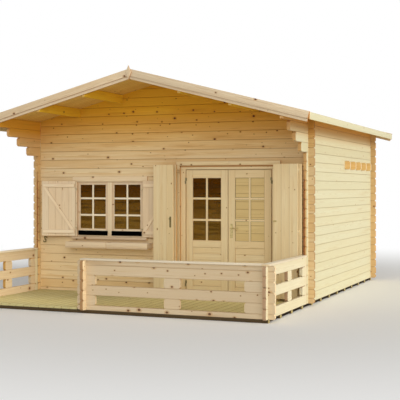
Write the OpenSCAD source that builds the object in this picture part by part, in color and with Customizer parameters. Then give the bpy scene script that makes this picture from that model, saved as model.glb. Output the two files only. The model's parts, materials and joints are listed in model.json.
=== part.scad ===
/* [Logs] */
// Height of one course of logs
log_h = 135; // [115:1:150]
// Thickness of a log
log_t = 45; // [38:1:60]
// Length of a log end past a corner
log_end = 90; // [60:1:130]
// Width of the tongue along the top of a log
tongue_w = 15; // [10:1:18]
// Height of the tongue
tongue_h = 10; // [6:1:14]
// Bevel along the edges of a log
log_bevel = 5; // [2:0.5:8]
// Bevel on the end of a log
end_bevel = 20; // [4:1:24]

/* [Walls] */
// Width over the outer faces of the side walls
body_w = 4480; // [4300:10:5400]
// Depth over the outer faces of the front and back walls
body_d = 4250; // [3400:10:5400]
// Courses in a side wall
wall_courses = 20; // [19:1:23]
// Stepped bracket courses under the wall plate
console_n = 3; // [1:1:4]
// Step of each bracket course
console_step = 270; // [180:5:320]
// Bevel on the end of a bracket
console_bevel = 28; // [12:1:45]

/* [Loft joists] */
// Number of loft joists through the side walls
loft_n = 5; // [2:1:8]
// Spacing of the loft joists
loft_pitch = 400; // [250:10:420]
// Course that the loft joists lie in
loft_course = 14; // [12:1:16]

/* [Base] */
// Number of floor joists
joist_n = 13; // [9:2:17]
// Width of a floor joist
joist_w = 70; // [60:1:100]
// Height of a floor joist
joist_h = 45; // [40:1:90]
// Thickness of the inner floor
floor_t = 19; // [16:1:40]
// Thickness of the veranda deck
deck_t = 28; // [20:1:35]

/* [Veranda] */
// Depth from the front wall to the outer face of the front rail
veranda_d = 1840; // [1500:10:2400]
// Length of the front rail from the right wall's outer face
front_rail_l = 2588; // [2000:1:3200]
// Courses in the rail
rail_courses = 5; // [5:2:7]
// Length of the spacer block at a corner
corner_block = 270; // [150:5:320]
// Length of the spacer block beside the entrance
stub_block = 140; // [100:5:200]
// Length of the spacer block in the middle of the front rail
mid_block = 228; // [120:2:300]
// Length of the spacer block in the middle of a side rail
side_block = 180; // [120:2:300]
// Length of the spacer block at the wall
wall_block = 126; // [100:2:240]
// Depth of the post between rail and wall
post_d = 80; // [50:1:120]
// Width of the plank on the rail
cap_w = 110; // [70:1:160]
// Thickness of the plank on the rail
cap_t = 24; // [18:1:40]

/* [Roof] */
// Slope of the roof in degrees
roof_pitch = 14.5; // [12:0.5:20]
// Thickness of the roof boards
roof_t = 19; // [16:1:30]
// Roof overhang past the side walls
eave_over = 347; // [200:1:450]
// Roof overhang past the front wall
front_over = 1209; // [1150:1:1500]
// Roof overhang past the back wall
back_over = 100; // [95:1:400]
// Thickness of the trim boards
board_t = 18; // [15:1:25]
// Height of the bargeboard
barge_h = 140; // [115:1:180]
// Height of the cover board on the bargeboard
barge_cover_h = 100; // [70:1:110]
// Rise of the bargeboard above the roof boards
barge_rise = 22; // [10:1:30]
// Height of the eaves board
fascia_h = 98; // [70:1:140]
// Height of the diamond at the ridge
diamond_h = 205; // [150:1:240]
// Width of the diamond at the ridge
diamond_w = 88; // [60:1:110]

/* [Door] */
// Distance from the right wall's outer face to the middle of the doorway
door_in = 1225; // [1200:1:1500]
// Width of one door leaf
leaf_w = 668; // [500:1:720]
// Height of a door leaf
leaf_h = 1864; // [1700:1:1900]
// Thickness of a door leaf
leaf_t = 40; // [35:1:45]
// Width of a leaf's stiles
stile_w = 106; // [80:1:120]
// Height of a leaf's top rail
leaf_top_h = 119; // [80:1:140]
// Height of the leaf's bottom rail
leaf_bottom_h = 130; // [100:1:180]
// Height from the leaf's bottom to the middle rail
leaf_mid_z = 708; // [500:1:800]
// Height of the leaf's middle rail
leaf_mid_h = 102; // [80:1:140]
// Clearance round each door leaf
leaf_gap = 8; // [6.5:0.5:10]
// Width of a door jamb
jamb_w = 92; // [60:1:110]
// Height of the door frame's head
head_h = 72; // [50:1:100]
// Depth of the door frame
frame_d = 72; // [60:1:100]
// Height of the threshold
threshold_h = 48; // [42:1:60]
// Width of the casing round a doorway
casing_w = 62; // [50:1:90]
// Thickness of the door casing
door_casing_t = 36; // [18:1:45]

/* [Door handle] */
// Height of the handle's middle above the bottom of the leaf
handle_up = 960; // [850:1:1100]
// Distance from the edge of the leaf to the handle's middle
handle_in = 52; // [35:1:60]
// Height of the handle's plate
plate_h = 210; // [150:1:260]
// Width of the handle's plate
plate_w = 42; // [30:1:50]
// Length of the lever
lever_l = 110; // [80:1:140]
// Thickness of the lever
lever_d = 16; // [12:1:20]

/* [Folding door shutters] */
// Width of one shutter panel
fold_w = 366; // [300:1:380]
// Height of the shutter panels
fold_h = 1930; // [1700:1:1950]
// Thickness of a shutter panel
fold_t = 28; // [20:1:30]
// Gap between the two panels of a folded pair
fold_gap = 46; // [16:1:60]
// Turn of the left pair off the wall, in degrees
fold_turn_left = 12; // [2:0.5:14]
// Turn of the right pair off the wall, in degrees
fold_turn_right = 1; // [0.5:0.5:4]
// Distance of the left pair from the casing at the doorway
fold_off_left = 150; // [140:1:180]
// Distance of the right pair from the casing at its folded edge
fold_off_right = 82; // [70:1:110]
// Step between the folded edges of the right pair's panels
fold_step = 34; // [10:1:36]

/* [Window] */
// Distance from the left wall's outer face to the middle of the window
window_in = 1292; // [1270:1:1500]
// First course that the window opens
window_course = 6; // [5:1:7]
// Number of courses that the window opens
window_courses = 7; // [6:1:7]
// Width of the window frame
window_w = 1190; // [1000:2:1200]
// Height of the window frame's head and foot
window_member = 50; // [40:1:65]
// Width of the window frame's jambs
window_jamb = 34; // [28:1:65]
// Width of a sash's stiles and top rail
sash_w = 34; // [28:1:60]
// Height of a sash's bottom rail
sash_foot = 76; // [50:1:90]
// Thickness of a sash
sash_t = 38; // [30:1:40]
// Width of the post between the sashes
mullion_w = 78; // [60:1:90]
// Width of the window casing
window_casing_w = 82; // [60:1:95]
// Thickness of the window casing
casing_t = 18; // [14:1:20]
// Thickness of the glass
glass_t = 5; // [4:0.5:8]

/* [Window shutters] */
// Height of a window shutter
shutter_h = 868; // [700:1:880]
// Thickness of a shutter's boards
shutter_t = 18; // [14:1:20]
// Thickness of a shutter's ledges and brace
ledge_t = 16; // [12:1:18]
// Height of a ledge
ledge_h = 56; // [40:1:100]
// Resting angle of the left shutter off the wall, in degrees
shutter_rest = 14; // [8:1:24]

/* [Planter] */
// Number of planter boxes in a row
planter_n = 2; // [1:1:4]
// Length of the row of planter boxes
planter_l = 1420; // [1000:10:1440]
// Depth of a planter box
planter_d = 190; // [140:1:230]
// Height of a planter box
planter_h = 94; // [70:1:130]

/* [Hidden] */

// Seat between two pieces that rest on each other
seat = 0.3;
// Play round a tongue
play = 1;
// Overlap that lets a cut pass through a face
past = 1;
// Bevel on a sawn edge
sawn = 2;
$fn = 32;

quarter = log_h / 4;
half_w = body_w / 2;
side_end = half_w + log_end;
rail_in = half_w - front_rail_l;
rail_y = -veranda_d;
rail_h = rail_courses * log_h;

// The base is centred under the part
y_min = rail_y - log_end;
y_max = body_d + back_over + 3 * board_t;
front_y = -(y_min + y_max) / 2;

// Roof lines, with the diamond's tip above the bargeboards
diamond_up = 47;
pitch_tan = tan(roof_pitch);
plate_z = wall_courses * log_h;
roof_v = roof_t / cos(roof_pitch);
eave_x = half_w + eave_over;
ridge_under = plate_z + half_w * pitch_tan;
purlin_step = half_w / 3;
function under_z(x) = ridge_under - abs(x) * pitch_tan;

// Doorway
clear_w = 2 * leaf_w + 3 * leaf_gap;
leaf_z = threshold_h + leaf_gap;
clear_h = leaf_z + leaf_h + leaf_gap;
frame_w = clear_w + 2 * jamb_w;
door_x = half_w - door_in;
door_play = 6;
door_open_w = frame_w + 2 * door_play;
door_open_h = clear_h + head_h + door_play;
door_courses = floor(door_open_h / log_h - 0.5);
casing_lap = 13;
casing_outer = frame_w + 2 * (casing_w - casing_lap);
stop_w = 14;
stop_gap = 6;
leaf_y = 2;
hinge_r = 7;
hinge_l = 90;
hinge_strap = 4;
hinge_tab = 16;
hinge_y = -hinge_r - hinge_strap / 2;
hinge_end = 160;
hinge_zs = [leaf_z + hinge_end, leaf_z + leaf_h - hinge_end];
hinge_out = leaf_gap / 2;
panel_inset = 10;
light_in = 12;
plate_t = 3;
lever_up = 42;
lever_out = 40;

// Folding door shutters
fold_up = 40;
fold_z = deck_t + fold_up;
fold_plate_t = 6;
fold_plate_h = 46;
fold_low = 190;
fold_high = 114;
fold_ends = [fold_low, fold_h - fold_high];
fold_middle = (fold_h - fold_plate_h) / 2;

// Window, with room over its frame for the logs to settle
window_x = half_w - window_in;
window_z = (window_course + 0.5) * log_h;
window_top = window_z + window_courses * log_h;
window_play = 5;
frame_up = 8;
settle_gap = 34;
frame_z = window_z + frame_up;
frame_top = window_top - settle_gap;
sash_y = 4;
glass_in = 10;
light_w = window_w - 2 * window_jamb;
sash_x = (light_w - mullion_w) / 4 + mullion_w / 2;
sash_l = (light_w - mullion_w) / 2 - 2 * seat;
sash_z = frame_z + window_member;
sash_h = frame_top - window_member - sash_z;
sill_t = 34;
sill_d = 40;
casing_reveal = 9;
casing_half = light_w / 2 + casing_reveal;
window_lap = 8;
casing_top = window_top + window_lap;

planter_drop = 40;
planter_shift = 25;
planter_gap = 3;

// Window shutters
shutter_play = 8;
shutter_w = casing_half - shutter_play;
shutter_up = 9;
shutter_z = frame_z + shutter_up;
pin_out = 27;
shutter_y = -casing_t - seat - pin_out;
pin_r = 6;
board_face = 2;
shutter_edge = 14;
ledge_inset = 14;
ledge_up = 44;
strap_l = 90;
strap_t = 5;
pin_l = 40;
pin_in = 130;
pin_zs = [shutter_z + pin_in, shutter_z + shutter_h - pin_in];

spruce = "burlywood";
pale = "navajowhite";
dark = "saddlebrown";

// Building frame: front wall's outer face at y = 0, wall foot at z = 0
module site() translate([0, front_y, joist_h]) children();

// Both sides of the part
module both_sides() {
    children();
    mirror([1, 0, 0]) children();
}

// Front and back of the building
module front_and_back() {
    children();
    translate([0, body_d, 0]) mirror([0, 1, 0]) children();
}

// Section of a log, thickness across and height up
module log_section(h, tongue = true, groove = true) {
    mid = log_t / 2;
    half = tongue_w / 2;
    difference() {
        union() {
            polygon([[log_bevel, 0], [log_t - log_bevel, 0], [log_t, log_bevel],
                [log_t, h - log_bevel], [log_t - log_bevel, h], [log_bevel, h],
                [0, h - log_bevel], [0, log_bevel]]);
            if (tongue) translate([mid - half, h - past]) square([tongue_w, tongue_h + past]);
        }
        if (groove) translate([mid - half - play, -past])
            square([tongue_w + 2 * play, tongue_h + play + past]);
    }
}

// Side view of a log from a to b, with bevels on both ends
module log_view(a, b, h, bevel_a, bevel_b) {
    top = h + tongue_h + past;
    polygon([[a + bevel_a, 0], [b - bevel_b, 0], [b, bevel_b], [b, h - bevel_b],
        [b - bevel_b, h], [b - bevel_b, top], [a + bevel_a, top],
        [a + bevel_a, h], [a, h - bevel_a], [a, bevel_a]]);
}

// Notch for a crossing log, from the bottom or from the top
module notch(x, h, low, high) {
    if (low) translate([x - seat, -past]) square([log_t + 2 * seat, quarter + past]);
    if (high) translate([x - seat, h - quarter])
        square([log_t + 2 * seat, quarter + tongue_h + 2 * past]);
}

// Log along x with its outer face at y = 0, cut by the 2D children
module log_x(a, b, h = log_h - seat, bevel_a = end_bevel, bevel_b = end_bevel,
        crossings = [], low = true, high = true, tongue = true, groove = true) {
    intersection() {
        rotate([90, 0, 90]) translate([0, 0, a - past]) linear_extrude(b - a + 2 * past)
            log_section(h, tongue, groove);
        rotate([90, 0, 0]) translate([0, 0, -log_t - past]) linear_extrude(log_t + 2 * past)
            difference() {
                log_view(a, b, h, bevel_a, bevel_b);
                for (x = crossings) notch(x, h, low, high);
                children();
            }
    }
}

// Turns a log along x into one of the right-hand wall's logs along y
module side_place(z) translate([half_w, 0, z + seat / 2]) rotate([0, 0, 90]) children();

// Height of a front course, half a course above the side wall's
function front_z(k) = (k + 0.5) * log_h;
wall_crossings = [-half_w, half_w - log_t];

// Doorway and window as seen from the front, at a course's height
module front_openings(z) {
    translate([door_x - door_open_w / 2, -past - z]) square([door_open_w, door_open_h + past]);
    translate([-window_x - window_w / 2 - window_play, window_z - z - seat])
        square([window_w + 2 * window_play, window_courses * log_h + seat]);
}

// Front courses from a to b
module front_courses(a, b, first, last) {
    for (k = [first:last]) translate([0, 0, front_z(k) + seat / 2])
        log_x(a, b, crossings = wall_crossings,
            bevel_a = a == -side_end ? end_bevel : sawn, bevel_b = b == side_end ? end_bevel : sawn)
            front_openings(front_z(k) + seat / 2);
}

// Half log that starts a front or back wall
module foot_log(a, b) {
    translate([0, 0, seat / 2])
        log_x(a, b, h = log_h / 2 - seat, crossings = wall_crossings, low = false, groove = false,
            bevel_a = a == -side_end ? end_bevel : sawn, bevel_b = b == side_end ? end_bevel : sawn);
}

// Gable courses, cut to the slope and let out round the purlins
module gable_courses() {
    last = floor((ridge_under - log_h) / log_h);
    for (k = [wall_courses - 1:last]) {
        z = front_z(k) + seat / 2;
        translate([0, 0, z])
            log_x(-side_end, side_end, crossings = k == wall_courses - 1 ? wall_crossings : [],
                high = false, bevel_a = sawn, bevel_b = sawn, tongue = k < last) {
                over_roof(z);
                for (i = [-2, -1, 1, 2]) translate([0, -z]) purlin_view(i, seat);
            }
    }
}

// Everything above the underside of the roof, at a course's height
module over_roof(z) {
    top = ridge_under + log_h;
    far = side_end + past;
    translate([0, -z])
        polygon([[-far, under_z(far) - seat], [0, ridge_under - seat], [far, under_z(far) - seat],
            [far, top], [-far, top]]);
}

// End view of a purlin, with its top cut to the slope
module purlin_view(i, grow) {
    x = i * purlin_step;
    a = x - log_t / 2 - grow;
    b = x + log_t / 2 + grow;
    low = under_z(abs(x) - log_t / 2) - log_h - grow;
    polygon([[a, low], [b, low], [b, under_z(b) - seat + grow], [a, under_z(a) - seat + grow]]);
}

// Front end of a side wall log
function console_steps(j) = max(0, j - (wall_courses - 2 - console_n));
function side_front(j) = j == wall_courses - 1 ? -front_over
    : -log_end - console_steps(j) * console_step;
function side_back(j) = body_d + (j == wall_courses - 1 ? back_over : log_end);

// Front face of a loft joist
function loft_y(i) = body_d - log_t - (i + 1) * loft_pitch;

// Right-hand side wall
module side_wall() {
    for (j = [0:wall_courses - 2]) side_place(j * log_h)
        log_x(side_front(j), side_back(j), crossings = [0, body_d - log_t], groove = j > 0,
            bevel_a = console_steps(j) > 0 ? console_bevel : end_bevel)
            for (i = [0:loft_n - 1])
                notch(loft_y(i), log_h - seat, j == loft_course + 1, j == loft_course);
    wall_plate();
}

// Top log of a side wall, cut to the slope of the roof
module wall_plate() {
    j = wall_courses - 1;
    tall = log_h + log_t * pitch_tan;
    intersection() {
        side_place(j * log_h)
            log_x(side_front(j), side_back(j), h = tall, bevel_a = sawn, bevel_b = sawn, tongue = false)
                for (y = [0, body_d - log_t]) {
                    notch(y, tall, true, false);
                    translate([y - seat, 3 * quarter - seat]) square([log_t + 2 * seat, tall]);
                }
        translate([0, body_d + back_over + past, 0]) rotate([90, 0, 0])
            linear_extrude(body_d + back_over + front_over + 2 * past)
                polygon([[half_w - log_t - past, 0], [half_w + past, 0],
                    [half_w + past, under_z(half_w + past) - seat],
                    [half_w - log_t - past, under_z(half_w - log_t - past) - seat]]);
    }
}

module floor_joists() color(dark) site() {
    first = rail_y + joist_w / 2;
    pitch = (body_d - joist_w - rail_y) / (joist_n - 1);
    for (i = [0:joist_n - 1])
        translate([-half_w, first + i * pitch - joist_w / 2, -joist_h]) cube([body_w, joist_w, joist_h]);
}

module interior_floor() color(pale) site() {
    inner = log_t + play;
    translate([-half_w + inner, inner, 0]) cube([body_w - 2 * inner, body_d - 2 * inner, floor_t]);
}

module veranda_deck() color("darkkhaki") site() {
    inner = log_t + play;
    linear_extrude(deck_t) difference() {
        translate([-half_w + inner, rail_y]) square([body_w - 2 * inner, veranda_d - play]);
        translate([rail_in - log_t - log_end - play, rail_y - past])
            square([front_rail_l + log_t + log_end, inner + past]);
        translate([rail_in - log_t - play, rail_y - past])
            square([log_t + 2 * play, log_t + log_end + play + past]);
        translate([-half_w, rail_y - past]) square([inner + log_end, inner + past]);
    }
}

module front_wall_left() color(spruce) site() {
    b = door_x - door_open_w / 2;
    foot_log(-side_end, b);
    front_courses(-side_end, b, 0, door_courses - 1);
}

module front_wall_right() color(spruce) site() {
    a = door_x + door_open_w / 2;
    foot_log(a, side_end);
    front_courses(a, side_end, 0, door_courses - 1);
}

module front_wall_over_door() color(spruce) site()
    front_courses(-side_end, side_end, door_courses, wall_courses - 2);

module front_gable() color(spruce) site() gable_courses();

module back_wall() color(spruce) site() translate([0, body_d, 0]) mirror([0, 1, 0]) {
    foot_log(-side_end, side_end);
    for (k = [0:wall_courses - 2]) translate([0, 0, front_z(k) + seat / 2])
        log_x(-side_end, side_end, crossings = wall_crossings);
}

module back_gable() color(spruce) site() translate([0, body_d, 0]) mirror([0, 1, 0]) gable_courses();

module left_wall() color(spruce) site() mirror([1, 0, 0]) side_wall();

module right_wall() color(spruce) site() side_wall();

module loft_joists() color(spruce) site()
    for (i = [0:loft_n - 1]) translate([0, loft_y(i), front_z(loft_course) + seat / 2])
        log_x(-side_end, side_end, crossings = wall_crossings, tongue = false, groove = false);

module purlins() color(spruce) site()
    for (i = [-2, -1, 1, 2]) translate([0, body_d + back_over, 0]) rotate([90, 0, 0])
        linear_extrude(body_d + back_over + front_over) purlin_view(i, 0);

// Right-hand roof slope
module roof_slope() {
    translate([0, body_d + back_over, 0]) rotate([90, 0, 0])
        linear_extrude(body_d + back_over + front_over)
            polygon([[seat / 2, under_z(0)], [eave_x, under_z(eave_x)],
                [eave_x, under_z(eave_x) + roof_v], [seat / 2, under_z(0) + roof_v]]);
}

module roof_left() color("peru") site() mirror([1, 0, 0]) roof_slope();

module roof_right() color("peru") site() roof_slope();

// Board along the right-hand roof edge, its lower end cut square
module barge(h, y, t) {
    top = under_z(0) + roof_v + barge_rise;
    end = eave_x + board_t;
    drop = end * pitch_tan;
    v = h / cos(roof_pitch);
    translate([0, y + t, 0]) rotate([90, 0, 0]) linear_extrude(t)
        polygon([[seat / 2, top - v], [end - h * sin(roof_pitch), top - drop - h * cos(roof_pitch)],
            [end, top - drop], [seat / 2, top]]);
}

// A trim piece on the front edge of the roof and the same on the back edge
module roof_edges(depth) {
    translate([0, -front_over - depth - board_t, 0]) children();
    translate([0, body_d + back_over + depth, 0]) children();
}

module bargeboards() color(pale) site() roof_edges(0) both_sides() barge(barge_h, 0, board_t);

module bargeboard_covers() color(pale) site()
    roof_edges(board_t) both_sides() barge(barge_cover_h, 0, board_t);

module ridge_diamonds() color(pale) site() {
    middle = under_z(0) + roof_v + barge_rise + diamond_up - diamond_h / 2;
    roof_edges(2 * board_t) translate([0, board_t, middle]) rotate([90, 0, 0]) linear_extrude(board_t)
        polygon([[0, -diamond_h / 2], [diamond_w / 2, 0], [0, diamond_h / 2], [-diamond_w / 2, 0]]);
}

module eave_fascias() color(pale) site() both_sides() {
    top = under_z(eave_x) + roof_v + barge_rise / 2;
    translate([eave_x, -front_over, top - fascia_h])
        cube([board_t, body_d + back_over + front_over, fascia_h]);
}

// One course of the front rail: a whole log, or blocks with gaps between them
module front_rail_course(z, h, low, high, solid, tongue = true) {
    a = rail_in - log_t - log_end;
    crossings = [rail_in - log_t, half_w - log_t];
    middle = (rail_in + half_w - log_t) / 2;
    translate([0, rail_y, z + seat / 2])
        log_x(a, side_end, h = h, crossings = crossings, low = low, high = high, tongue = tongue,
            groove = z > 0)
            if (!solid) {
                rail_gap(rail_in + stub_block, middle - mid_block / 2);
                rail_gap(middle + mid_block / 2, half_w - log_t - corner_block);
            }
}

// Gap between two spacer blocks, with bevels on the blocks' corners
module rail_gap(a, b) {
    c = end_bevel;
    top = log_h + tongue_h + past;
    polygon([[a - c, -past], [b + c, -past], [b + c, 0], [b, c], [b, log_h - c], [b + c, log_h],
        [b + c, top], [a - c, top], [a - c, log_h], [a, log_h - c], [a, c], [a - c, 0]]);
}

module front_rail() color(pale) site() {
    full = log_h - seat;
    half = log_h / 2 - seat;
    front_rail_course(0, half, false, true, true, tongue = false);
    for (k = [0:rail_courses - 2])
        front_rail_course(front_z(k), full, true, true, k % 2 == 1, tongue = k % 2 == 0);
    front_rail_course(front_z(rail_courses - 1), half, true, false, true, tongue = false);
    for (j = [0:rail_courses - 1]) translate([rail_in, 0, j * log_h + seat / 2]) rotate([0, 0, 90])
        log_x(rail_y - log_end, rail_y + log_t + log_end, crossings = [rail_y],
            tongue = j < rail_courses - 1, groove = j > 0);
}

// Side rail from the front corner to the post at the wall
module side_rail() {
    a = rail_y - log_end;
    b = -log_end - post_d - seat;
    first = rail_y + log_t + corner_block;
    last = b - wall_block;
    middle = (first + last) / 2;
    for (j = [0:rail_courses - 1]) side_place(j * log_h)
        log_x(a, b, bevel_b = sawn, crossings = [rail_y], tongue = j % 2 == 1, groove = j > 0)
            if (j % 2 == 1) {
                rail_gap(first, middle - side_block / 2);
                rail_gap(middle + side_block / 2, last);
            }
}

module right_rail() color(pale) site() side_rail();

// Short cross logs that lock the free corner of the left rail
module corner_stubs() {
    b = -half_w + log_t + log_end;
    half = log_h / 2 - seat;
    translate([0, rail_y, seat / 2])
        log_x(-side_end, b, h = half, crossings = [-half_w], low = false, groove = false);
    for (k = [0:rail_courses - 2]) translate([0, rail_y, front_z(k) + seat / 2])
        log_x(-side_end, b, crossings = [-half_w]);
    translate([0, rail_y, front_z(rail_courses - 1) + seat / 2])
        log_x(-side_end, b, h = half, crossings = [-half_w], high = false, tongue = false);
}

module left_rail() color(pale) site() {
    mirror([1, 0, 0]) side_rail();
    corner_stubs();
}

module rail_planks() color(pale) site() {
    lip = (cap_w - log_t) / 2;
    back = -log_end - post_d - seat;
    translate([0, 0, rail_h]) {
        translate([rail_in - log_t - lip, rail_y - lip, 0])
            cube([front_rail_l, cap_w, cap_t]);
        for (x = [half_w - log_t - lip + seat, -half_w - lip]) translate([x, rail_y - lip, 0])
            cube([cap_w, back - rail_y + lip, cap_t]);
    }
}

module rail_posts() color(spruce) site() both_sides()
    translate([half_w - log_t, -log_end - post_d, 0]) cube([log_t, post_d - seat, rail_h + cap_t]);

module door_frame() color(pale) site() {
    left = door_x - frame_w / 2;
    foot = floor_t + seat;
    for (x = [left, left + frame_w - jamb_w])
        translate([x, 0, foot]) cube([jamb_w, frame_d, clear_h - seat - foot]);
    translate([left, 0, clear_h]) cube([frame_w, frame_d, head_h]);
    translate([door_x - clear_w / 2 + seat, 0, foot])
        cube([clear_w - 2 * seat, frame_d, threshold_h - foot]);
    stop_y = leaf_y + leaf_t + stop_gap;
    stop_d = frame_d - stop_y;
    stop_h = clear_h - stop_w - threshold_h - 2 * seat;
    for (x = [door_x - clear_w / 2 + seat, door_x + clear_w / 2 - stop_w - seat])
        translate([x, stop_y, threshold_h + seat]) cube([stop_w, stop_d, stop_h]);
    translate([door_x - clear_w / 2 + seat, stop_y, clear_h - stop_w - seat / 2])
        cube([clear_w - 2 * seat, stop_d, stop_w - seat / 2]);
}

module door_casing() color(pale) site() {
    left = door_x - casing_outer / 2;
    top = clear_h + head_h - casing_lap;
    y = -door_casing_t - seat;
    for (x = [left, left + casing_outer - casing_w]) translate([x, y, deck_t + seat])
        cube([casing_w, door_casing_t, top - deck_t - 2 * seat]);
    translate([left, y, top]) cube([casing_outer, door_casing_t, casing_w]);
}

// Hinge barrel on the axis, its upper half on the leaf
module barrel(z, upper) translate([0, 0, z + (upper ? seat / 2 : -hinge_l / 2)])
    cylinder(r = hinge_r, h = hinge_l / 2 - (upper ? seat : seat / 2));

hinge_dx = clear_w / 2 - leaf_gap + hinge_out;

// Hinge halves on the jambs, each barrel on its own tab
module door_hinge_pins() color("dimgray") site() for (s = [-1, 1])
    translate([door_x + s * hinge_dx, hinge_y, 0]) for (z = hinge_zs) {
        barrel(z, false);
        translate([s > 0 ? 0 : -hinge_tab, hinge_r - hinge_strap / 2, z - hinge_l / 2])
            cube([hinge_tab, hinge_strap - seat, hinge_l / 2 - seat / 2]);
    }

// Leaf hinged on its left, from the hinge axis
module leaf_frame() {
    x = leaf_gap - hinge_out;
    translate([x, leaf_y - hinge_y, leaf_z]) difference() {
        cube([leaf_w, leaf_t, leaf_h]);
        translate([stile_w, -past, leaf_mid_z + leaf_mid_h])
            cube([leaf_w - 2 * stile_w, leaf_t + 2 * past, leaf_h - leaf_top_h - leaf_mid_z - leaf_mid_h]);
        translate([stile_w, -past, leaf_bottom_h])
            cube([leaf_w - 2 * stile_w, leaf_t + 2 * past, leaf_mid_z - leaf_bottom_h]);
    }
    for (z = hinge_zs) {
        barrel(z, true);
        translate([0, hinge_r - hinge_strap / 2, z + seat / 2])
            cube([hinge_tab, leaf_y + hinge_strap + past, hinge_l / 2 - seat]);
    }
}

// Sheet or board in the upper light of a leaf
module upper_light(y, t) {
    low = leaf_mid_z + leaf_mid_h;
    translate([leaf_gap - hinge_out + stile_w + seat, leaf_y - hinge_y + y, leaf_z + low + seat])
        cube([leaf_w - 2 * stile_w - 2 * seat, t, leaf_h - leaf_top_h - low - 2 * seat]);
}

// Boarded panel in the lower part of a leaf
module lower_panel() {
    x = leaf_gap - hinge_out + stile_w + seat;
    translate([x, leaf_y - hinge_y + panel_inset, leaf_z + leaf_bottom_h + seat])
        cube([leaf_w - 2 * stile_w - 2 * seat, leaf_t - 2 * panel_inset,
            leaf_mid_z - leaf_bottom_h - 2 * seat]);
}

module hang_left() site() translate([door_x - hinge_dx, hinge_y, 0]) children();
module hang_right() site() translate([door_x + hinge_dx, hinge_y, 0]) mirror([1, 0, 0]) children();

module door_left() color(pale) hang_left() leaf_frame();
module door_left_glass() color("dimgray") hang_left() upper_light(light_in, glass_t);
module door_left_panel() color(pale) hang_left() lower_panel();
module door_right() color(pale) hang_right() leaf_frame();
module door_right_boards() color(pale) hang_right() upper_light(light_in, board_t);
module door_right_panel() color(pale) hang_right() lower_panel();

// Lever handle on a long plate, the lever with rounded ends
module lever() {
    translate([-plate_w / 2, -plate_t, -plate_h / 2]) cube([plate_w, plate_t, plate_h]);
    translate([0, 0, lever_up]) {
        translate([0, past - plate_t, 0]) rotate([90, 0, 0])
            cylinder(d = lever_d, h = lever_out + past - plate_t);
        translate([0, -lever_out, 0]) {
            sphere(d = lever_d);
            rotate([0, 90, 0]) cylinder(d = lever_d, h = lever_l);
            translate([lever_l, 0, 0]) sphere(d = lever_d);
        }
    }
}

module door_handle() color("darkgoldenrod") hang_right()
    translate([leaf_gap - hinge_out + leaf_w - handle_in, leaf_y - hinge_y - seat, leaf_z + handle_up])
        mirror([1, 0, 0]) lever();

// Two panels folded against each other, with their fold at fold_x
module folded_pair(fold_x, step = 0) {
    translate([step - fold_w, 0, 0]) cube([fold_w, fold_t, fold_h]);
    translate([-fold_w, -fold_gap - fold_t, 0]) cube([fold_w, fold_t, fold_h]);
    for (z = concat(fold_ends, fold_middle)) translate([fold_x, -fold_gap + seat, z])
        cube([fold_plate_t, fold_gap - seat + past, fold_plate_h]);
}

// Hinge arms that stand a pair off the casing
module fold_arms(x, reach) for (z = fold_ends)
    translate([x, -door_casing_t - 2 * seat - reach, fold_z + z])
        cube([fold_plate_t, reach, fold_plate_h]);

module folding_shutter_left() color(pale) site() {
    x = door_x - casing_outer / 2 + casing_w;
    translate([x, -door_casing_t - fold_off_left, fold_z]) rotate([0, 0, -fold_turn_left])
        folded_pair(-fold_w);
    fold_arms(x - fold_plate_t - play, fold_off_left - fold_t / 2);
}

module folding_shutter_right() color(pale) site() {
    edge = door_x + casing_outer / 2 - casing_w;
    near = fold_off_right - fold_w * sin(fold_turn_right);
    translate([edge + fold_w * cos(fold_turn_right), -door_casing_t - fold_off_right, fold_z])
        rotate([0, 0, -fold_turn_right]) folded_pair(-fold_plate_t, fold_step);
    fold_arms(edge + fold_step + play, near - fold_t / 2);
}

module window_frame() color(pale) site() {
    left = -window_x - window_w / 2;
    h = frame_top - frame_z;
    d = frame_d;
    translate([left, 0, frame_z]) cube([window_w, d, window_member - seat]);
    translate([left, 0, frame_top - window_member + seat]) cube([window_w, d, window_member - seat]);
    for (x = [left, left + window_w - window_jamb])
        translate([x, 0, frame_z + window_member]) cube([window_jamb, d, h - 2 * window_member]);
    translate([-window_x - mullion_w / 2, 0, frame_z + window_member])
        cube([mullion_w, d, h - 2 * window_member]);
}

module window_casing() color(pale) site() {
    left = -window_x - casing_half - window_casing_w;
    w = 2 * (casing_half + window_casing_w);
    top = casing_top - window_casing_w;
    for (x = [left, left + w - window_casing_w])
        translate([x, -casing_t - seat, frame_z]) cube([window_casing_w, casing_t, top - frame_z - seat]);
    translate([left, -casing_t - seat, top]) cube([w, casing_t, window_casing_w]);
}

// Opening of a sash, or the glass in it
module sash_light(y, t, grow) translate([sash_w - grow, y, sash_foot - grow])
    cube([sash_l - 2 * sash_w + 2 * grow, t, sash_h - sash_w - sash_foot + 2 * grow]);

module sash() difference() {
    cube([sash_l, sash_t, sash_h]);
    sash_light(-past, sash_t + 2 * past, 0);
}

module window_sashes() color(pale) site()
    for (s = [-1, 1]) translate([-window_x + s * sash_x - sash_l / 2, sash_y, sash_z]) sash();

module window_glass() color("dimgray") site()
    for (s = [-1, 1]) translate([-window_x + s * sash_x - sash_l / 2, sash_y, sash_z])
        sash_light(glass_in, glass_t, -seat);

module window_sill() color(pale) site() {
    w = 2 * (casing_half + window_casing_w);
    translate([-window_x - w / 2, -casing_t - sill_d, frame_z - sill_t - seat])
        cube([w, casing_t + sill_d - seat, sill_t]);
}

// Open box of five boards
module planter(l) {
    t = board_t;
    inner = planter_d - 2 * t - 2 * seat;
    side = planter_h - t - seat;
    cube([l, planter_d, t]);
    for (y = [0, planter_d - t]) translate([0, y, t + seat]) cube([l, t, side]);
    for (x = [0, l - t]) translate([x, t + seat, t + seat]) cube([t, inner, side]);
}

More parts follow.
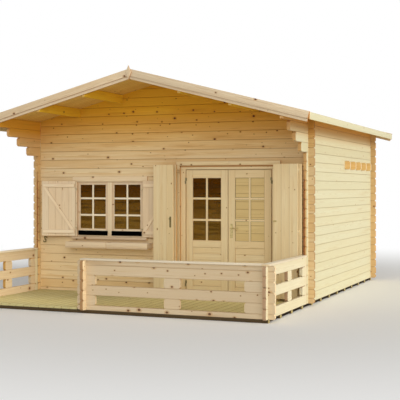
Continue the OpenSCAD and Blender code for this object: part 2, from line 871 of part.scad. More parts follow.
module planter_box() color(pale) site() {
    pitch = planter_l / planter_n;
    left = -window_x - planter_l / 2 + planter_shift;
    drop = frame_z - sill_t - planter_drop - planter_h;
    for (i = [0:planter_n - 1]) translate([left + i * pitch, -planter_d - seat, drop])
        planter(pitch - planter_gap);
}

// Boards, ledges, brace and hinge knuckles of a shutter, from its hinge axis, open flat to the left
module shutter() {
    left = -shutter_w + ledge_inset;
    right = -shutter_edge - ledge_inset;
    low = shutter_z + ledge_up;
    high = shutter_z + shutter_h - ledge_up - ledge_h;
    face = board_face + past;
    translate([-shutter_w, board_face, shutter_z]) cube([shutter_w - shutter_edge, shutter_t, shutter_h]);
    for (z = [low, high]) translate([left, board_face - ledge_t, z])
        cube([right - left, ledge_t + past, ledge_h]);
    translate([0, face, 0]) rotate([90, 0, 0]) linear_extrude(ledge_t + past)
        polygon([[left, high + past], [left + ledge_h, high + past],
            [right, low + ledge_h - past], [right - ledge_h, low + ledge_h - past]]);
    for (z = pin_zs) translate([0, 0, z + seat / 2]) {
        cylinder(r = pin_r, h = pin_l / 2);
        translate([-strap_l, -strap_t / 2, 0]) cube([strap_l, strap_t / 2 + face, pin_l / 2]);
    }
}

shutter_axis = -window_x - casing_half;

module shutter_left() color(pale) site()
    translate([shutter_axis, shutter_y, 0]) rotate([0, 0, shutter_rest]) shutter();

module shutter_right() color(pale) site()
    translate([-2 * window_x - shutter_axis, shutter_y, 0]) mirror([1, 0, 0]) shutter();

// Lower halves of the shutter hinges, on arms from the casing
module shutter_hinge_pins() color("dimgray") site()
    for (s = [-1, 1]) translate([-window_x + s * casing_half, shutter_y, 0]) for (z = pin_zs) {
        low = pin_l / 2;
        translate([0, 0, z - low]) cylinder(r = pin_r, h = low - seat / 2);
        translate([s < 0 ? -strap_t : 0, 0, z - low])
            cube([strap_t, -shutter_y - casing_t - 2 * seat, low - seat / 2]);
    }

floor_joists();
interior_floor();
veranda_deck();
front_wall_left();
front_wall_right();
front_wall_over_door();
front_gable();
back_wall();
back_gable();
left_wall();
right_wall();
loft_joists();
purlins();
roof_left();
roof_right();
bargeboards();
bargeboard_covers();
ridge_diamonds();
eave_fascias();
front_rail();
right_rail();
left_rail();
rail_planks();
rail_posts();
door_frame();
door_casing();
door_hinge_pins();
door_left();
door_left_glass();
door_left_panel();
door_right();
door_right_boards();
door_right_panel();
door_handle();
folding_shutter_left();
folding_shutter_right();
window_frame();
window_casing();
window_sashes();
window_glass();
window_sill();
planter_box();
shutter_left();
shutter_right();
shutter_hinge_pins();
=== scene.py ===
import json
import math
import random

import bpy
import numpy as np
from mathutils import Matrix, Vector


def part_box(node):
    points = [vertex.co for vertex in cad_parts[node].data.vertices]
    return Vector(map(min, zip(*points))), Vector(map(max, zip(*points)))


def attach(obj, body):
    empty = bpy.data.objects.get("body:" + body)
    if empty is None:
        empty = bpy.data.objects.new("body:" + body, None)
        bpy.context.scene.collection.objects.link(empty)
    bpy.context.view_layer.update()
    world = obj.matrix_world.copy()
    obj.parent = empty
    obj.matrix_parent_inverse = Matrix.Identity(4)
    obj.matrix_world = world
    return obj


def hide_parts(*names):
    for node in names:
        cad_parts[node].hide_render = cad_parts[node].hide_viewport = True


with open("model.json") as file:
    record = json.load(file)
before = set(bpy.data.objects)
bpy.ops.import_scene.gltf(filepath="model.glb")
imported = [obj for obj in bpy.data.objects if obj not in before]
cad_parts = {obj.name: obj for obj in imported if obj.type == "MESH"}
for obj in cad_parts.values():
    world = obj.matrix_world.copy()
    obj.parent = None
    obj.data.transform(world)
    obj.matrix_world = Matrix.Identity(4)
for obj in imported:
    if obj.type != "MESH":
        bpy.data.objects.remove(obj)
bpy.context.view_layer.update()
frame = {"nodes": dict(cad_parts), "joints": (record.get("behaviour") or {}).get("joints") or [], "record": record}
nodes = frame["nodes"]
bodyOf = {node: body for body, members in frame["record"]["behaviour"]["bodies"].items() for node in members}
jointAt = {joint["name"]: joint["pos_m"] for joint in frame["joints"]}
dice = random.Random(27)
print("frame loaded,", len(nodes), "nodes")

# camera level and at eye height, to the right of the front
cameraPlace = {"spot": (5.9466, -14.402, 1.701), "turn": 22.2225, "lens": 85.5, "sensor": 36,
               "shiftY": -0.0309, "farthest": 300}


def setCamera():
    bpy.ops.object.camera_add(location=cameraPlace["spot"],
                              rotation=(math.pi / 2, 0, math.radians(cameraPlace["turn"])))
    camera = bpy.context.active_object
    camera.data.lens = cameraPlace["lens"]
    camera.data.sensor_width = cameraPlace["sensor"]
    camera.data.shift_y = cameraPlace["shiftY"]
    camera.data.clip_end = cameraPlace["farthest"]
    bpy.context.scene.camera = camera


setCamera()
print("camera set")


def solid(colour):
    # a colour socket wants a fourth value
    return (*colour, 1.0)


# shader maths: one output socket, with operators that add Math nodes
class Wire:
    def __init__(self, tree, socket=None):
        self.tree = tree
        self.socket = socket

    def node(self, kind, settings=None, sockets=None, out=0):
        made = self.tree.nodes.new("ShaderNode" + kind)
        for key, value in (settings or {}).items():
            setattr(made, key, value)
        for key, value in (sockets or {}).items():
            if isinstance(value, Wire):
                self.tree.links.new(value.socket, made.inputs[key])
            else:
                made.inputs[key].default_value = value
        return Wire(self.tree, made.outputs[out])

    def also(self, out):
        # another output of the same node
        return Wire(self.tree, self.socket.node.outputs[out])

    def math(self, operation, a, b=0.0):
        return self.node("Math", {"operation": operation}, {0: a, 1: b})

    def __add__(self, other):
        return self.math("ADD", self, other)

    def __radd__(self, other):
        return self.math("ADD", other, self)

    def __sub__(self, other):
        return self.math("SUBTRACT", self, other)

    def __rsub__(self, other):
        return self.math("SUBTRACT", other, self)

    def __mul__(self, other):
        return self.math("MULTIPLY", self, other)

    def __rmul__(self, other):
        return self.math("MULTIPLY", other, self)

    def __truediv__(self, other):
        return self.math("DIVIDE", self, other)

    def __rtruediv__(self, other):
        return self.math("DIVIDE", other, self)

    def __pow__(self, other):
        return self.math("POWER", self, other)

    def __neg__(self):
        return self.math("MULTIPLY", self, -1.0)

    def floor(self):
        return self.math("FLOOR", self)

    def sine(self):
        return self.math("SINE", self)

    def root(self):
        return self.math("SQRT", self)

    def size(self):
        return self.math("ABSOLUTE", self)

    def atLeast(self, low):
        return self.math("MAXIMUM", self, low)

    def atMost(self, high):
        return self.math("MINIMUM", self, high)

    def rise(self, low, high):
        # 0 below low, 1 above high, smooth between
        return self.node("MapRange", {"interpolation_type": "SMOOTHSTEP"},
                         {"Value": self, "From Min": low, "From Max": high})

    def paint(self, under, over, blend="MIX"):
        # this value is how much of over covers under
        under, over = [colour if isinstance(colour, Wire) else solid(colour) for colour in (under, over)]
        sockets = {0: self, 6: under, 7: over}  # 6 and 7 are the node's colours
        return self.node("Mix", {"data_type": "RGBA", "blend_type": blend}, sockets, out=2)

    def join(self, x, y, z):
        return self.node("CombineXYZ", None, {0: x, 1: y, 2: z})

    def parts(self):
        split = self.node("SeparateXYZ", None, {0: self})
        return [split.also(i) for i in range(3)]

    def noise(self, x, y, z, detail=2.0, roughness=0.5):
        return self.node("TexNoise", {"noise_dimensions": "3D"},
                         {"Vector": self.join(x, y, z), "Scale": 1.0, "Detail": detail,
                          "Roughness": roughness})

    def plain(self):
        # 1 where the picture or a clear reflection looks, 0 for the light itself
        path = self.node("LightPath")
        seen = path.also("Is Camera Ray") + path.also("Is Glossy Ray") + path.also("Is Transmission Ray")
        return seen.atMost(1.0)


def newMaterial(name):
    material = bpy.data.materials.new(name)
    material.use_nodes = True
    tree = material.node_tree
    return material, Wire(tree), tree.nodes["Principled BSDF"]


def plug(shader, name, wire):
    wire.tree.links.new(wire.socket, shader.inputs[name])


# spruce: fresh and yellow outside, with painted orange-brown shade where the roof shelters it; bands are heights
# where a tint sets in
spruceLooks = {
    # front: painted shade that turns orange-brown with height under the roof, and painted shade on the log ends
    # past the side walls
    "front": {"pale": (0.89, 0.73, 0.45), "warm": (0.79, 0.55, 0.255), "late": (0.53, 0.30, 0.12),
              "halo": (0.60, 0.35, 0.13), "knot": (0.13, 0.05, 0.02), "end": (0.55, 0.33, 0.13),
              "joint": 0.42, "knots": 0.55, "knotSize": 0.100, "streak": 0.80, "ring": 0.34,
              "amber": (0.96, 0.66, 0.06), "amberBand": (2.0, 2.95), "outer": (0.88, 0.83, 0.78)},
    # side: a paler, greener copy of the spruce, painting sunlight on the right wall and fascias; its tints high
    # under the roof overhang, on high log ends, on high inward faces and on the inward halves of low log ends are
    # painted shade, and its tint on inward faces is painted warm light
    "side": {"pale": (0.76, 0.72, 0.50), "warm": (0.735, 0.65, 0.395), "late": (0.60, 0.47, 0.235),
             "halo": (0.66, 0.51, 0.25), "knot": (0.42, 0.26, 0.11), "end": (0.75, 0.46, 0.18),
             "joint": 0.34, "knots": 0.14, "knotSize": 0.070, "streak": 0.45, "ring": 0.22,
             "inner": (1.1, 0.94, 0.74), "amber": (0.94, 0.70, 0.16), "shade": (0.46, 0.24, 0.14),
             "eaves": (1.0, 0.55, 0.16), "highEnd": (1.00, 0.91, 0.82), "eavesBand": (2.36, 2.66),
             "amberBand": (2.36, 2.62), "highEndBand": (1.9, 2.3), "shadeBand": (1.7, 2.1)},
    "rail": {"pale": (0.74, 0.60, 0.40), "warm": (0.70, 0.53, 0.32), "late": (0.52, 0.33, 0.155),
             "halo": (0.56, 0.34, 0.145), "knot": (0.17, 0.07, 0.03), "end": (0.74, 0.41, 0.10),
             "joint": 0.36, "knots": 0.50, "knotSize": 0.135, "streak": 0.60, "ring": 0.28},
    # railSide: a paler copy for the right rail, painting sunlight on it
    "railSide": {"pale": (0.84, 0.77, 0.55), "warm": (0.81, 0.71, 0.47), "late": (0.63, 0.48, 0.26),
                 "halo": (0.67, 0.49, 0.24), "knot": (0.34, 0.19, 0.08), "end": (0.466, 0.28, 0.165),
                 "joint": 0.36, "knots": 0.12, "knotSize": 0.070, "streak": 0.45, "ring": 0.24},
    # plank: a paler copy, painting sunlight on the tops of the rail caps; the window bars use it too
    "plank": {"pale": (0.94, 0.87, 0.70), "warm": (0.90, 0.80, 0.58), "late": (0.72, 0.54, 0.32),
              "halo": (0.72, 0.54, 0.30), "knot": (0.26, 0.13, 0.06), "end": (0.86, 0.68, 0.42),
              "joint": 0.20, "knots": 0.16, "knotSize": 0.070, "streak": 0.45, "ring": 0.22},
    "trim": {"pale": (0.85, 0.71, 0.50), "warm": (0.81, 0.615, 0.385), "late": (0.62, 0.41, 0.21),
             "halo": (0.64, 0.40, 0.175), "knot": (0.18, 0.07, 0.03), "end": (0.77, 0.56, 0.30),
             "joint": 0.26, "knots": 0.40, "knotSize": 0.100, "streak": 0.60, "ring": 0.28},
    "door": {"pale": (0.90, 0.75, 0.46), "warm": (0.84, 0.63, 0.32), "late": (0.63, 0.42, 0.18),
             "halo": (0.67, 0.41, 0.155), "knot": (0.20, 0.08, 0.03), "end": (0.80, 0.57, 0.28),
             "joint": 0.24, "knots": 0.30, "knotSize": 0.070, "streak": 0.55, "ring": 0.26},
    "blind": {"pale": (0.80, 0.63, 0.30), "warm": (0.71, 0.515, 0.212), "late": (0.50, 0.33, 0.12),
              "halo": (0.56, 0.35, 0.13), "knot": (0.18, 0.08, 0.03), "end": (0.70, 0.49, 0.21),
              "joint": 0.45, "knots": 0.30, "knotSize": 0.070, "streak": 0.55, "ring": 0.26},
    # roof: painted orange-brown shade on the undersides
    "roof": {"pale": (0.90, 0.70, 0.38), "warm": (0.80, 0.55, 0.25), "late": (0.58, 0.36, 0.14),
             "halo": (0.62, 0.36, 0.13), "knot": (0.16, 0.06, 0.02), "end": (0.78, 0.54, 0.27),
             "joint": 0.50, "knots": 0.30, "knotSize": 0.080, "streak": 0.55, "ring": 0.28,
             "amber": (0.92, 0.80, 0.40)},
    # purlin: deep orange-brown all over, painted shade under the roof
    "purlin": {"pale": (0.95, 0.60, 0.04), "warm": (0.84, 0.48, 0.03), "late": (0.60, 0.30, 0.02),
               "halo": (0.60, 0.30, 0.02), "knot": (0.13, 0.05, 0.02), "end": (0.72, 0.46, 0.14),
               "joint": 0.30, "knots": 0.24, "knotSize": 0.080, "streak": 0.55, "ring": 0.28},
    # deck: painted shade near the wall
    "deck": {"pale": (0.86, 0.79, 0.40), "warm": (0.75, 0.66, 0.29), "late": (0.44, 0.39, 0.13),
             "halo": (0.48, 0.39, 0.13), "knot": (0.17, 0.11, 0.04), "end": (0.68, 0.60, 0.29),
             "joint": 0.60, "knots": 0.20, "knotSize": 0.080, "streak": 0.65, "ring": 0.30,
             "sheltered": (0.62, 0.62, 0.64), "byWall": (-2.75, -1.75), "byDoor": (-0.8, 0.5)},
    # joist: near black on the long faces, painted shade under the deck and in the right leaf's rebate; the pale
    # ends are the wood's own colour
    "joist": {"pale": (0.11, 0.075, 0.030), "warm": (0.085, 0.055, 0.020), "late": (0.05, 0.03, 0.010),
              "halo": (0.08, 0.045, 0.015), "knot": (0.03, 0.015, 0.006), "end": (0.56, 0.45, 0.18),
              "joint": 0.30, "knots": 0.16, "knotSize": 0.080, "streak": 0.65, "ring": 0.32},
}
# looks that differ from one above in a few points
for name, base, change in (
        ("lee", "side", {"pale": (0.84, 0.70, 0.44), "warm": (0.77, 0.59, 0.33), "knots": 0.24}),
        # casing, barge and reveal: the edge tint is painted shade on side and under faces
        ("casing", "door", {"edge": (0.84, 0.58, 0.36)}),
        # frontRail: painted sunlight on right-hand faces
        ("frontRail", "rail", {"end": (0.44, 0.24, 0.10), "sunny": (1.33, 1.34, 1.32)}),
        # post: painted shade on front faces
        ("post", "railSide", {"shady": (0.72, 0.56, 0.42)}),
        ("barge", "rail", {"pale": (0.81, 0.66, 0.45), "warm": (0.77, 0.58, 0.36), "knots": 0.30,
                           "knotSize": 0.090, "streak": 0.90, "ring": 0.40, "edge": (0.74, 0.44, 0.22)}),
        # back and loft: painted warm light on the log ends past the side walls
        ("back", "rail", {"knots": 0.24, "knotSize": 0.085, "outer": (1.0, 0.86, 0.62)}),
        ("loft", "rail", {"knots": 0.10, "end": (0.74, 0.78, 0.85), "outer": (1.19, 0.98, 0.60)}),
        ("reveal", "trim", {"pale": (0.90, 0.76, 0.52), "warm": (0.86, 0.66, 0.41),
                            "edge": (0.72, 0.46, 0.27)}),
        # bead: a dark copy for the strip under the door head, a painted shadow line
        ("bead", "door", {"pale": (0.60, 0.33, 0.13), "warm": (0.50, 0.25, 0.09)}),
        ("ledge", "trim", {"pale": (0.92, 0.78, 0.56), "warm": (0.88, 0.69, 0.45)})):
    spruceLooks[name] = dict(spruceLooks[base], **change)

# figure of the wood: how fine each pattern is along and across the grain, where it sets in, how strong it is
spruceFigure = {"wander": (1.3, 6.0), "fibre": (11.0, 430.0), "broad": (0.9, 17.0), "narrow": (1.9, 80.0),
                "fleck": (14.0, 130.0), "heartBand": (0.36, 0.74), "darkBand": (0.56, 0.78),
                "bendBand": (0.40, 0.62), "narrowBand": (0.56, 0.76), "fleckBand": (0.68, 0.78),
                "dark": 0.45, "narrowDark": 0.42, "fleckDark": 0.35, "halo": 0.55, "toneDark": 0.40,
                "boardShift": 40.0, "pithAside": 0.10, "pithBehind": 0.030, "pithDeeper": 0.035,
                "heartTone": 0.55, "ringGap": 0.0052, "ringWander": 0.022, "ringHalo": 0.010,
                "lateSharp": 3.0, "endPith": 0.05, "endRings": 1150.0, "endDark": 0.175,
                "knotCells": 7.0, "knotStretch": 0.75, "knotShift": 9.0, "knotLeast": 0.30, "knotMore": 0.75,
                "knotEdge": (-0.004, 0.014), "haloReach": 2.3, "haloEdge": (-0.02, 0.09),
                "fibreHigh": 0.35, "lateHigh": 0.45, "knotHigh": 0.5, "bumpHeight": 0.0007,
                "bumpStrength": 0.55, "rough": 0.52, "fibreRough": 0.22, "knotSmooth": 0.12, "shine": 0.25,
                "jointTint": (0.40, 0.22, 0.09), "jointBand": (-0.006, -0.001)}


def spruce(look, wire, shader, along, across, depth, tone, end, joint, covers):
    # rings round a pith that lies behind the board, pushed aside by wander
    figure = spruceFigure
    along = along + tone * figure["boardShift"]

    def grain(kind, detail=2.0, roughness=0.5):
        lengthways, sideways = figure[kind]
        return wire.noise(along * lengthways, across * sideways, depth * sideways, detail, roughness)

    wander = grain("wander") - 0.5
    fibre = grain("fibre", 1.0)
    broad = grain("broad", 3.0, 0.6)
    narrow = grain("narrow")
    fleck = grain("fleck", 1.0)
    knotSpot = wire.join(along * figure["knotStretch"], across + tone * figure["knotShift"], 0.0)
    cells = wire.node("TexVoronoi", {"voronoi_dimensions": "2D", "feature": "F1"},
                      {"Vector": knotSpot, "Scale": figure["knotCells"]})
    chance = wire.node("SeparateColor", None, {0: cells.also("Color")})
    grown = (chance - (1.0 - look["knots"])).rise(0.0, 0.002)
    knotSpread = chance.also("Green") ** 2.0 * figure["knotMore"] + figure["knotLeast"]
    knotReach = grown * knotSpread * look["knotSize"]
    knot = (knotReach - cells).rise(*figure["knotEdge"]) * grown
    halo = (knotReach * figure["haloReach"] - cells).rise(*figure["haloEdge"]) * grown
    u = across + (tone - 0.5) * figure["pithAside"]
    v = depth + figure["pithBehind"] + tone * figure["pithDeeper"]
    radius = (u * u + v * v).root() + wander * figure["ringWander"] + halo * figure["ringHalo"]
    late = ((radius * (2 * math.pi / figure["ringGap"])).sine() * 0.5 + 0.5) ** figure["lateSharp"]
    heart = (broad + (tone - 0.5) * figure["heartTone"]).rise(*figure["heartBand"])
    dark = broad.rise(*figure["darkBand"]) * (wander + 0.5).rise(*figure["bendBand"])
    colour = (heart * look["streak"]).paint(look["pale"], look["warm"])
    for cover in (late * look["ring"], dark * figure["dark"],
                  narrow.rise(*figure["narrowBand"]) * look["streak"] * figure["narrowDark"],
                  fleck.rise(*figure["fleckBand"]) * figure["fleckDark"]):
        colour = cover.paint(colour, look["late"])
    colour = ((0.5 - tone).atLeast(0.0) * figure["toneDark"]).paint(colour, look["warm"], "MULTIPLY")
    colour = (halo * figure["halo"]).paint(colour, look["halo"])
    colour = knot.paint(colour, look["knot"])
    endDepth = depth + figure["endPith"]
    endRadius = (across * across + endDepth * endDepth).root()
    endRings = ((endRadius * figure["endRings"]).sine() + 1.0) * figure["endDark"]
    colour = end.paint(colour, endRings.paint(look["end"], look["late"]))
    for cover, key in covers:
        colour = cover.paint(colour, look[key], "MULTIPLY")
    colour = (joint * look["joint"] * (1.0 - end)).paint(colour, figure["jointTint"], "MULTIPLY")
    relief = fibre * figure["fibreHigh"] + late * figure["lateHigh"] + knot * figure["knotHigh"]
    bump = wire.node("Bump", None, {"Strength": figure["bumpStrength"], "Distance": figure["bumpHeight"],
                                    "Height": relief})
    plug(shader, "Base Color", colour)
    plug(shader, "Roughness", figure["rough"] + fibre * figure["fibreRough"] - knot * figure["knotSmooth"])
    plug(shader, "Normal", bump)
    shader.inputs["Specular IOR Level"].default_value = figure["shine"]


# painted light and shade by which way a face turns: orange-brown shade on undersides, sunlight on right-hand
# faces, shade on front faces and on edges below and at the sides
turnedFaces = {"amber": lambda normal: -normal[2], "sunny": lambda normal: normal[0],
               "shady": lambda normal: -normal[1],
               "edge": lambda normal: 1.0 - normal[1].size() - normal[2].atLeast(0.0)}
turnBand = (0.3, 0.6)  # how far a face is turned when its tint sets in
boardMarks = {"boardPlace": "Vector", "boardTone": "Fac", "boardEnd": "Fac", "boardHalf": "Fac"}


def boardSpruce(name, look):
    # for pieces that carry their own board attributes
    material, wire, shader = newMaterial(name)
    told = {key: wire.node("Attribute", {"attribute_type": "GEOMETRY", "attribute_name": key}, None, out)
            for key, out in boardMarks.items()}
    along, across, depth = told["boardPlace"].parts()
    joint = (across.size() - told["boardHalf"]).rise(*spruceFigure["jointBand"])
    spot = wire.node("TexCoord", out="Object")
    normal = spot.also("Normal").parts()
    covers = [(turned(normal).rise(*turnBand), key) for key, turned in turnedFaces.items() if key in look]
    if "sheltered" in look:
        # painted shade: darker near the wall, fading out towards the door
        x, y = spot.parts()[:2]
        covers.append((y.rise(*look["byWall"]) * (1.0 - x.rise(*look["byDoor"])), "sheltered"))
    end = told["boardEnd"]
    if "sunny" in look:
        end = end * normal[1].size().rise(*turnBand)
    spruce(look, wire, shader, along, across, depth, told["boardTone"], end, joint, covers)
    return material


# walls of level logs in courses, front and back half a course above the sides
logWalls = {"course": 0.135, "sill": 0.045, "frontBand": (1.237, 1.267), "sideBand": (2.242, 2.252),
            "innerBand": (-0.006, 0.008), "endBand": (0.5, 0.65), "jointFrom": 0.008, "jointTo": 0.002,
            "courseTone": 1.37, "wallTone": 7.3, "firstTone": 1.1}


def logSpruce(name, look, axis, foot, middle, seed, inward):
    # each course gets its own tone and its own stretch of figure
    material, wire, shader = newMaterial(name)
    spot = wire.node("TexCoord", out="Object")
    xyz = spot.parts()
    height = xyz[2]
    normal = spot.also("Normal").parts()
    size = logWalls
    pitch = size["course"]
    course = ((height - foot) / pitch).floor()
    tone = wire.node("TexWhiteNoise", {"noise_dimensions": "1D"}, {"W": course * size["courseTone"] + seed})
    across = height - foot - (course + 0.5) * pitch
    joint = across.size().rise(pitch / 2 - size["jointFrom"], pitch / 2 - size["jointTo"])
    end = normal[axis].size().rise(*size["endBand"])
    covers = []
    if inward:
        # painted shade: orange-brown high under the roof overhang on outward faces and on high inward faces,
        # darker log ends high up, and dark inward halves on low log ends; painted warm light on the inward faces
        # of log ends before the wall
        outside = (-xyz[1]).rise(*size["frontBand"])
        facing = (normal[0] * inward).rise(*turnBand) * outside
        underEaves = height.rise(*look["eavesBand"]) * (1.0 - facing) * (1.0 - end)
        innerHalf = ((xyz[0] - middle) * inward).rise(*size["innerBand"]) * outside
        lowEnd = end * (1.0 - height.rise(*look["shadeBand"]))
        covers = [(underEaves, "eaves"), (end * height.rise(*look["highEndBand"]), "highEnd"),
                  (facing, "inner"), (facing * height.rise(*look["amberBand"]), "amber"),
                  (innerHalf * lowEnd, "shade")]
    elif "amber" in look:
        # front logs: painted orange-brown shade rising with height under the roof
        covers = [(height.rise(*look["amberBand"]), "amber")]
    if "outer" in look:
        # log ends that stand out past the side walls: painted shade on the front, painted warm light on the back
        # and loft
        covers.append((xyz[0].size().rise(*size["sideBand"]), "outer"))
    spruce(look, wire, shader, xyz[axis], across, xyz[1 - axis] - middle, tone, end, joint, covers)
    return material


# metal: cloudy wear and a fine brushed grain
metalGrain = {"cloud": 60.0, "wornBand": (0.45, 0.7), "cloudRough": 0.2, "brush": 900.0,
              "brushHeight": 0.0002, "brushStrength": 0.2}


def metal(name, colour, worn, roughness, metallic=1.0, specular=0.5):
    material, wire, shader = newMaterial(name)
    size = metalGrain
    spot = wire.node("TexCoord", out="Object")
    cloud = wire.node("TexNoise", None, {"Vector": spot, "Scale": size["cloud"], "Detail": 4.0})
    brushed = wire.node("TexNoise", None, {"Vector": spot, "Scale": size["brush"], "Detail": 1.0})
    bump = wire.node("Bump", None, {"Strength": size["brushStrength"], "Distance": size["brushHeight"],
                                    "Height": brushed})
    plug(shader, "Base Color", cloud.rise(*size["wornBand"]).paint(colour, worn))
    plug(shader, "Roughness", roughness + cloud * size["cloudRough"])
    plug(shader, "Normal", bump)
    shader.inputs["Metallic"].default_value = metallic
    shader.inputs["Specular IOR Level"].default_value = specular
    return material


# brown panes with faint dust and drips; their colour is painted shade of the dark room behind, darker and more
# opaque high up, crossed by painted dark horizontal streaks
paneLook = {"low": ((0.25, 0.130, 0.016), (0.33, 0.180, 0.030)),
            "high": ((0.075, 0.022, 0.0), (0.11, 0.040, 0.001)),
            "line": (0.05, 0.022, 0.002), "lineBand": (0.50, 0.66), "lineDark": 0.55, "heights": (1.05, 1.75),
            "cover": 0.58, "highCover": 0.26, "dustCover": 0.12, "rough": 0.03, "dripRough": 0.06,
            "dripBand": (0.5, 0.8), "shine": 0.03, "dust": 7.0, "drips": (30.0, 30.0, 2.5),
            "lines": (2.0, 2.0, 26.0)}


def paneGlass(name):
    look = paneLook
    material, wire, shader = newMaterial(name)
    spot = wire.node("TexCoord", out="Object")

    def streaks(fineness, detail):
        stretched = wire.node("Mapping", None, {"Vector": spot, "Scale": fineness})
        return wire.node("TexNoise", None, {"Vector": stretched, "Scale": 1.0, "Detail": detail})

    dust = wire.node("TexNoise", None, {"Vector": spot, "Scale": look["dust"], "Detail": 5.0})
    drip = streaks(look["drips"], 3.0)
    lines = streaks(look["lines"], 2.0)
    above = spot.parts()[2].rise(*look["heights"])
    seen = above.paint(dust.paint(*look["low"]), dust.paint(*look["high"]))
    plug(shader, "Base Color", (lines.rise(*look["lineBand"]) * look["lineDark"]).paint(seen, look["line"]))
    plug(shader, "Roughness", look["rough"] + drip.rise(*look["dripBand"]) * look["dripRough"])
    plug(shader, "Alpha", look["cover"] + above * look["highCover"] + dust * look["dustCover"])
    shader.inputs["Specular IOR Level"].default_value = look["shine"]
    return material


print("materials ready to be mixed")


# modelling
snug = 0.0002  # room left between two pieces that touch
hair = 1e-5  # closer than this is the same place
plateEase = 0.001  # rounding on the edges of metal plates
sharpEdge = 40  # an edge that turns by more degrees is eased


def pickNone():
    bpy.ops.object.select_all(action="DESELECT")


def pickOnly(piece):
    pickNone()
    piece.select_set(True)
    bpy.context.view_layer.objects.active = piece


def settle(piece):
    # the place goes into the mesh
    pickOnly(piece)
    bpy.ops.object.transform_apply(location=True, rotation=True, scale=True)
    return piece


def enterEdit():
    bpy.ops.object.mode_set(mode="EDIT")


def leaveEdit():
    bpy.ops.object.mode_set(mode="OBJECT")


def pickIn(piece, kind, items, test):
    # leaves the piece in edit mode with the wanted points or edges selected
    pickOnly(piece)
    enterEdit()
    bpy.ops.mesh.select_mode(type=kind)
    bpy.ops.mesh.select_all(action="DESELECT")
    leaveEdit()
    for item in getattr(piece.data, items):
        item.select = test(item)
    enterEdit()


def pickPoints(piece, test):
    pickIn(piece, "VERT", "vertices", lambda point: test(point.co))


def pickEdges(piece, test):
    pickIn(piece, "EDGE", "edges", lambda edge: test(*(piece.data.vertices[i].co for i in edge.vertices)))


def easePicked(width, segments=1):
    bpy.ops.mesh.bevel(offset=width, segments=segments, affect="EDGES")
    leaveEdit()


def movePicked(x=0, z=0):
    bpy.ops.transform.translate(value=(x, 0, z))
    leaveEdit()


def stretchPicked(x=1, z=1):
    bpy.ops.transform.resize(value=(x, 1, z), center_override=(0, 0, 0))
    leaveEdit()


def block(low, high):
    pickNone()
    bpy.ops.mesh.primitive_cube_add(size=1, location=[(a + b) / 2 for a, b in zip(low, high)])
    piece = bpy.context.active_object
    piece.scale = [b - a for a, b in zip(low, high)]
    return settle(piece)


def board(low, high, ease, segments=1):
    # sawn board with its edges eased
    piece = block(low, high)
    pickEdges(piece, lambda a, b: True)
    easePicked(ease, segments)
    return piece


def repeat(piece, count, step):
    # copies in a row, each a board of its own
    pickOnly(piece)
    row = piece.modifiers.new("row", "ARRAY")
    row.count = count
    row.use_relative_offset = False
    row.use_constant_offset = True
    row.constant_offset_displace = step
    bpy.ops.object.modifier_apply(modifier=row.name)
    return piece


def boardRow(low, high, count, axis, gap, ease):
    # boards side by side along one axis, with V joints between them
    pitch = (high[axis] - low[axis]) / count
    top = list(high)
    top[axis] = low[axis] + pitch - gap
    step = [0, 0, 0]
    step[axis] = pitch
    return repeat(board(low, top, ease), count, step)


def rod(radius, start, axis, length, ease):
    # round bar along an axis with eased rims
    pickNone()
    turn = {0: (0, math.pi / 2, 0), 1: (math.pi / 2, 0, 0), 2: (0, 0, 0)}[axis]
    middle = list(start)
    middle[axis] += length / 2
    bpy.ops.mesh.primitive_cylinder_add(vertices=24, radius=radius, depth=abs(length), location=middle,
                                        rotation=turn)
    piece = settle(bpy.context.active_object)
    pickEdges(piece, lambda a, b: abs(a[axis] - b[axis]) < hair)
    easePicked(ease, 2)
    return piece


def dome(radius, spot, axis, height):
    # screw head, low and round, standing out along an axis
    pickNone()
    bpy.ops.mesh.primitive_uv_sphere_add(segments=12, ring_count=6, radius=radius, location=spot)
    piece = bpy.context.active_object
    flat = [1, 1, 1]
    flat[axis] = height / radius
    piece.scale = flat
    return settle(piece)


def gather(parts, name):
    pickNone()
    for part in parts:
        part.select_set(True)
    bpy.context.view_layer.objects.active = parts[0]
    if len(parts) > 1:
        bpy.ops.object.join()
    whole = bpy.context.active_object
    whole.name = name
    whole.data.name = name
    return whole


def swing(piece, spot, degrees):
    # turn about an upright line through spot; the mesh is first set on that line
    piece.rotation_euler = (0, 0, math.radians(degrees))
    piece.location = (spot[0], spot[1], 0)
    return settle(piece)


def easeEdges(piece, width):
    pickOnly(piece)
    soft = piece.modifiers.new("eased", "BEVEL")
    soft.width = width
    soft.segments = 2
    soft.limit_method = "ANGLE"
    soft.angle_limit = math.radians(sharpEdge)
    bpy.ops.object.modifier_apply(modifier=soft.name)


def planedCopy(node, name, ease):
    # the node's own timber with its sharp edges taken off
    piece = bpy.data.objects.new(name, nodes[node].data.copy())
    bpy.context.scene.collection.objects.link(piece)
    pickOnly(piece)
    enterEdit()
    bpy.ops.mesh.select_all(action="SELECT")
    bpy.ops.mesh.remove_doubles(threshold=hair)
    bpy.ops.mesh.dissolve_limited(angle_limit=math.radians(0.5))
    leaveEdit()
    if ease:
        easeEdges(piece, ease)
    return piece


